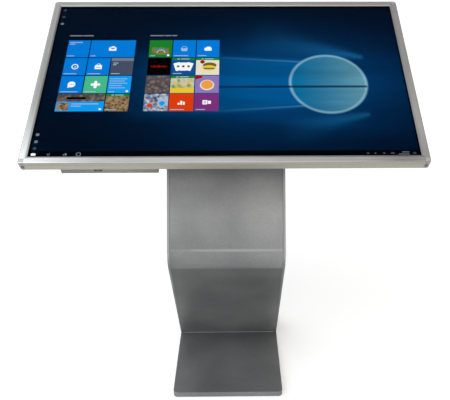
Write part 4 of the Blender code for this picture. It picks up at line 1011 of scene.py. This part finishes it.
# ---- finishes for the CAD solids
def paint_nodes():
    """Gives each CAD solid its material, by its node's name or by its slot."""
    coat = powder_coat()
    zinc = plated_steel("zinc_steel", (0.56, 0.56, 0.57), 0.36)
    chrome = plated_steel("chrome_trim", (0.72, 0.72, 0.73), 0.14)
    black = moulded("black_plastic", (0.016, 0.016, 0.018), 0.42)
    # The corner caps carry painted shade: their sides are painted about half as bright as their front.
    silver = moulded("corner_plastic", (0.46, 0.455, 0.445), 0.38, 0.2, 0.55, side=(0.23, 0.225, 0.215))
    pad = rubber("foot_rubber")
    jacket = moulded("cable_jacket", (0.014, 0.014, 0.015), 0.55)
    # The front skin gets painted shade and a painted highlight along its upper bend.
    front_skin = powder_coat("powder_coat_bent", bend_highlight=(UP_UPPER_LEG, UPPER_BEND))
    # The side panels get painted light on their front-facing rims.
    side_panel = powder_coat("powder_coat_painted_rim_light", rim=True)
    warm_coat = powder_coat("powder_coat_warm", tint=(1.04, 1.0, 0.90))
    special = {
        "base_cover": powder_coat("powder_coat_base", tint=(1.06, 1.06, 1.09)),
        "io_box": warm_coat,
        "io_flap": warm_coat,
        "column_front_skin": front_skin,
        "column_side_left": side_panel,
        "column_side_right": side_panel,
        "flap_latch_knob": moulded("latch_plastic", (0.150, 0.147, 0.140), 0.45),
    }
    finishes = {
        "powder_coat": coat,
        "zinc_steel": zinc,
        "chrome_trim": chrome,
        "black_plastic": black,
        "corner_plastic": silver,
        "foot_rubber": pad,
        "cable_jacket": jacket,
        "touch_glass": touch_glass(),
        "circuit_board": circuit_board(),
        "screen": black,
    }
    across = brushed_aluminium("brushed_aluminium_across", 0)
    upright = brushed_aluminium("brushed_aluminium_up", 1)
    for row in frame["record"]["subparts"]:
        name = row["node"]
        if name in special:
            finish = special[name]
        elif row["material_slot"] == "brushed_aluminium":
            finish = upright if name.endswith(("left", "right")) else across
        else:
            finish = finishes[row["material_slot"]]
        data = nodes[name].data
        data.materials.clear()
        data.materials.append(finish)
        data.shade_smooth()
        data.set_sharp_from_angle(angle=radians(32))
        weighted = nodes[name].modifiers.new("weighted_normals", "WEIGHTED_NORMAL")
        weighted.keep_sharp = True
        weighted.weight = 90
    return zinc, coat, black


# ---- stage, light and camera
def stage():
    bpy.ops.mesh.primitive_plane_add(size=60, location=(0, 0, 0))
    floor = bpy.context.object
    floor.name = "floor"
    paint = Paint("floor", (0.90, 0.90, 0.90), 0.7)
    paint.put("Specular IOR Level", 0.1)
    paint.put("Emission Color", (1, 1, 1, 1))
    paint.put("Emission Strength", 0.28)
    floor.data.materials.append(paint.material)


def area_light(name, location, aim, size, power, colour=(1, 1, 1)):
    light = bpy.data.lights.new(name, "AREA")
    light.shape = "RECTANGLE"
    light.size, light.size_y = size
    light.energy = power
    light.color = colour
    obj = bpy.data.objects.new(name, light)
    bpy.context.scene.collection.objects.link(obj)
    obj.location = location
    obj.rotation_euler = (Vector(aim) - Vector(location)).to_track_quat("-Z", "Y").to_euler()


def studio_world():
    """A white studio, cooler and brighter on the left, with a dark ceiling that the glass mirrors."""
    world = bpy.data.worlds.new("studio")
    bpy.context.scene.world = world
    world.use_nodes = True
    tree = world.node_tree

    def made(kind, inputs=(), **settings):
        node = tree.nodes.new(kind)
        for name, value in settings.items():
            setattr(node, name, value)
        for socket, value in inputs:
            if isinstance(value, bpy.types.NodeSocket):
                tree.links.new(value, node.inputs[socket])
            else:
                node.inputs[socket].default_value = value
        return node

    def ramp(value, limits, ends, smooth=False):
        kind = "SMOOTHSTEP" if smooth else "LINEAR"
        names = ("Value", "From Min", "From Max", "To Min", "To Max")
        inputs = zip(names, (value, *limits, *ends))
        return made("ShaderNodeMapRange", inputs, interpolation_type=kind).outputs[0]

    way = made("ShaderNodeTexCoord").outputs["Generated"]
    leaned = made("ShaderNodeMapping", [("Vector", way), ("Rotation", (CEILING_LEAN, 0, 0))]).outputs[0]
    height = made("ShaderNodeSeparateXYZ", [(0, leaned)]).outputs["Z"]
    across = made("ShaderNodeSeparateXYZ", [(0, way)]).outputs["X"]
    ceiling = ramp(height, (0.80, 0.92), (WALLS, CEILING), smooth=True)
    from_left = ramp(across, (-0.8, 0.8), (0.0, 1.0))
    dimmer = ramp(across, (-0.8, 0.8), (1.25, 0.40))
    strength = made("ShaderNodeMath", [(0, ceiling), (1, dimmer)], operation="MULTIPLY").outputs[0]
    tint = made("ShaderNodeMix", [("Factor", from_left)], data_type="RGBA")
    tint.inputs[6].default_value = (0.94, 1.0, 1.02, 1)
    tint.inputs[7].default_value = (1.07, 1.0, 0.94, 1)
    back = tree.nodes["Background"]
    tree.links.new(tint.outputs[2], back.inputs["Color"])
    tree.links.new(strength, back.inputs["Strength"])


def lights():
    studio_world()
    area_light("key", (0.3, -3.6, 3.0), (0, -0.2, 0.6), (2.4, 1.2), 18)
    area_light("low_fill", (0.0, -3.4, 0.55), (0, 0.0, 0.25), (2.6, 0.7), 12)
    corner, cool = (-0.61, -0.36, 0.93), (0.72, 0.89, 1.0)
    area_light("left_corner", (-0.98, -0.58, 1.38), corner, (0.20, 0.20), 1.9, cool)


def camera():
    made = bpy.data.cameras.new("camera")
    made.lens = CAMERA_LENS
    made.shift_x, made.shift_y = CAMERA_SHIFT
    obj = bpy.data.objects.new("camera", made)
    bpy.context.scene.collection.objects.link(obj)
    turn = Matrix.Rotation(CAMERA_YAW, 4, "Z") @ Matrix.Rotation(pi / 2 - CAMERA_PITCH, 4, "X")
    obj.matrix_world = Matrix.Translation(CAMERA_AT) @ turn
    bpy.context.scene.camera = obj
    bpy.context.scene.view_settings.view_transform = "Standard"


# ---- build
camera()
lights()
stage()
zinc, coat, black = paint_nodes()
screen_picture()
recess_shade_washers(black)
foot_seams(coat)
back_cover_screws(zinc)
hinge_screws(zinc)
inlet_fittings(zinc)
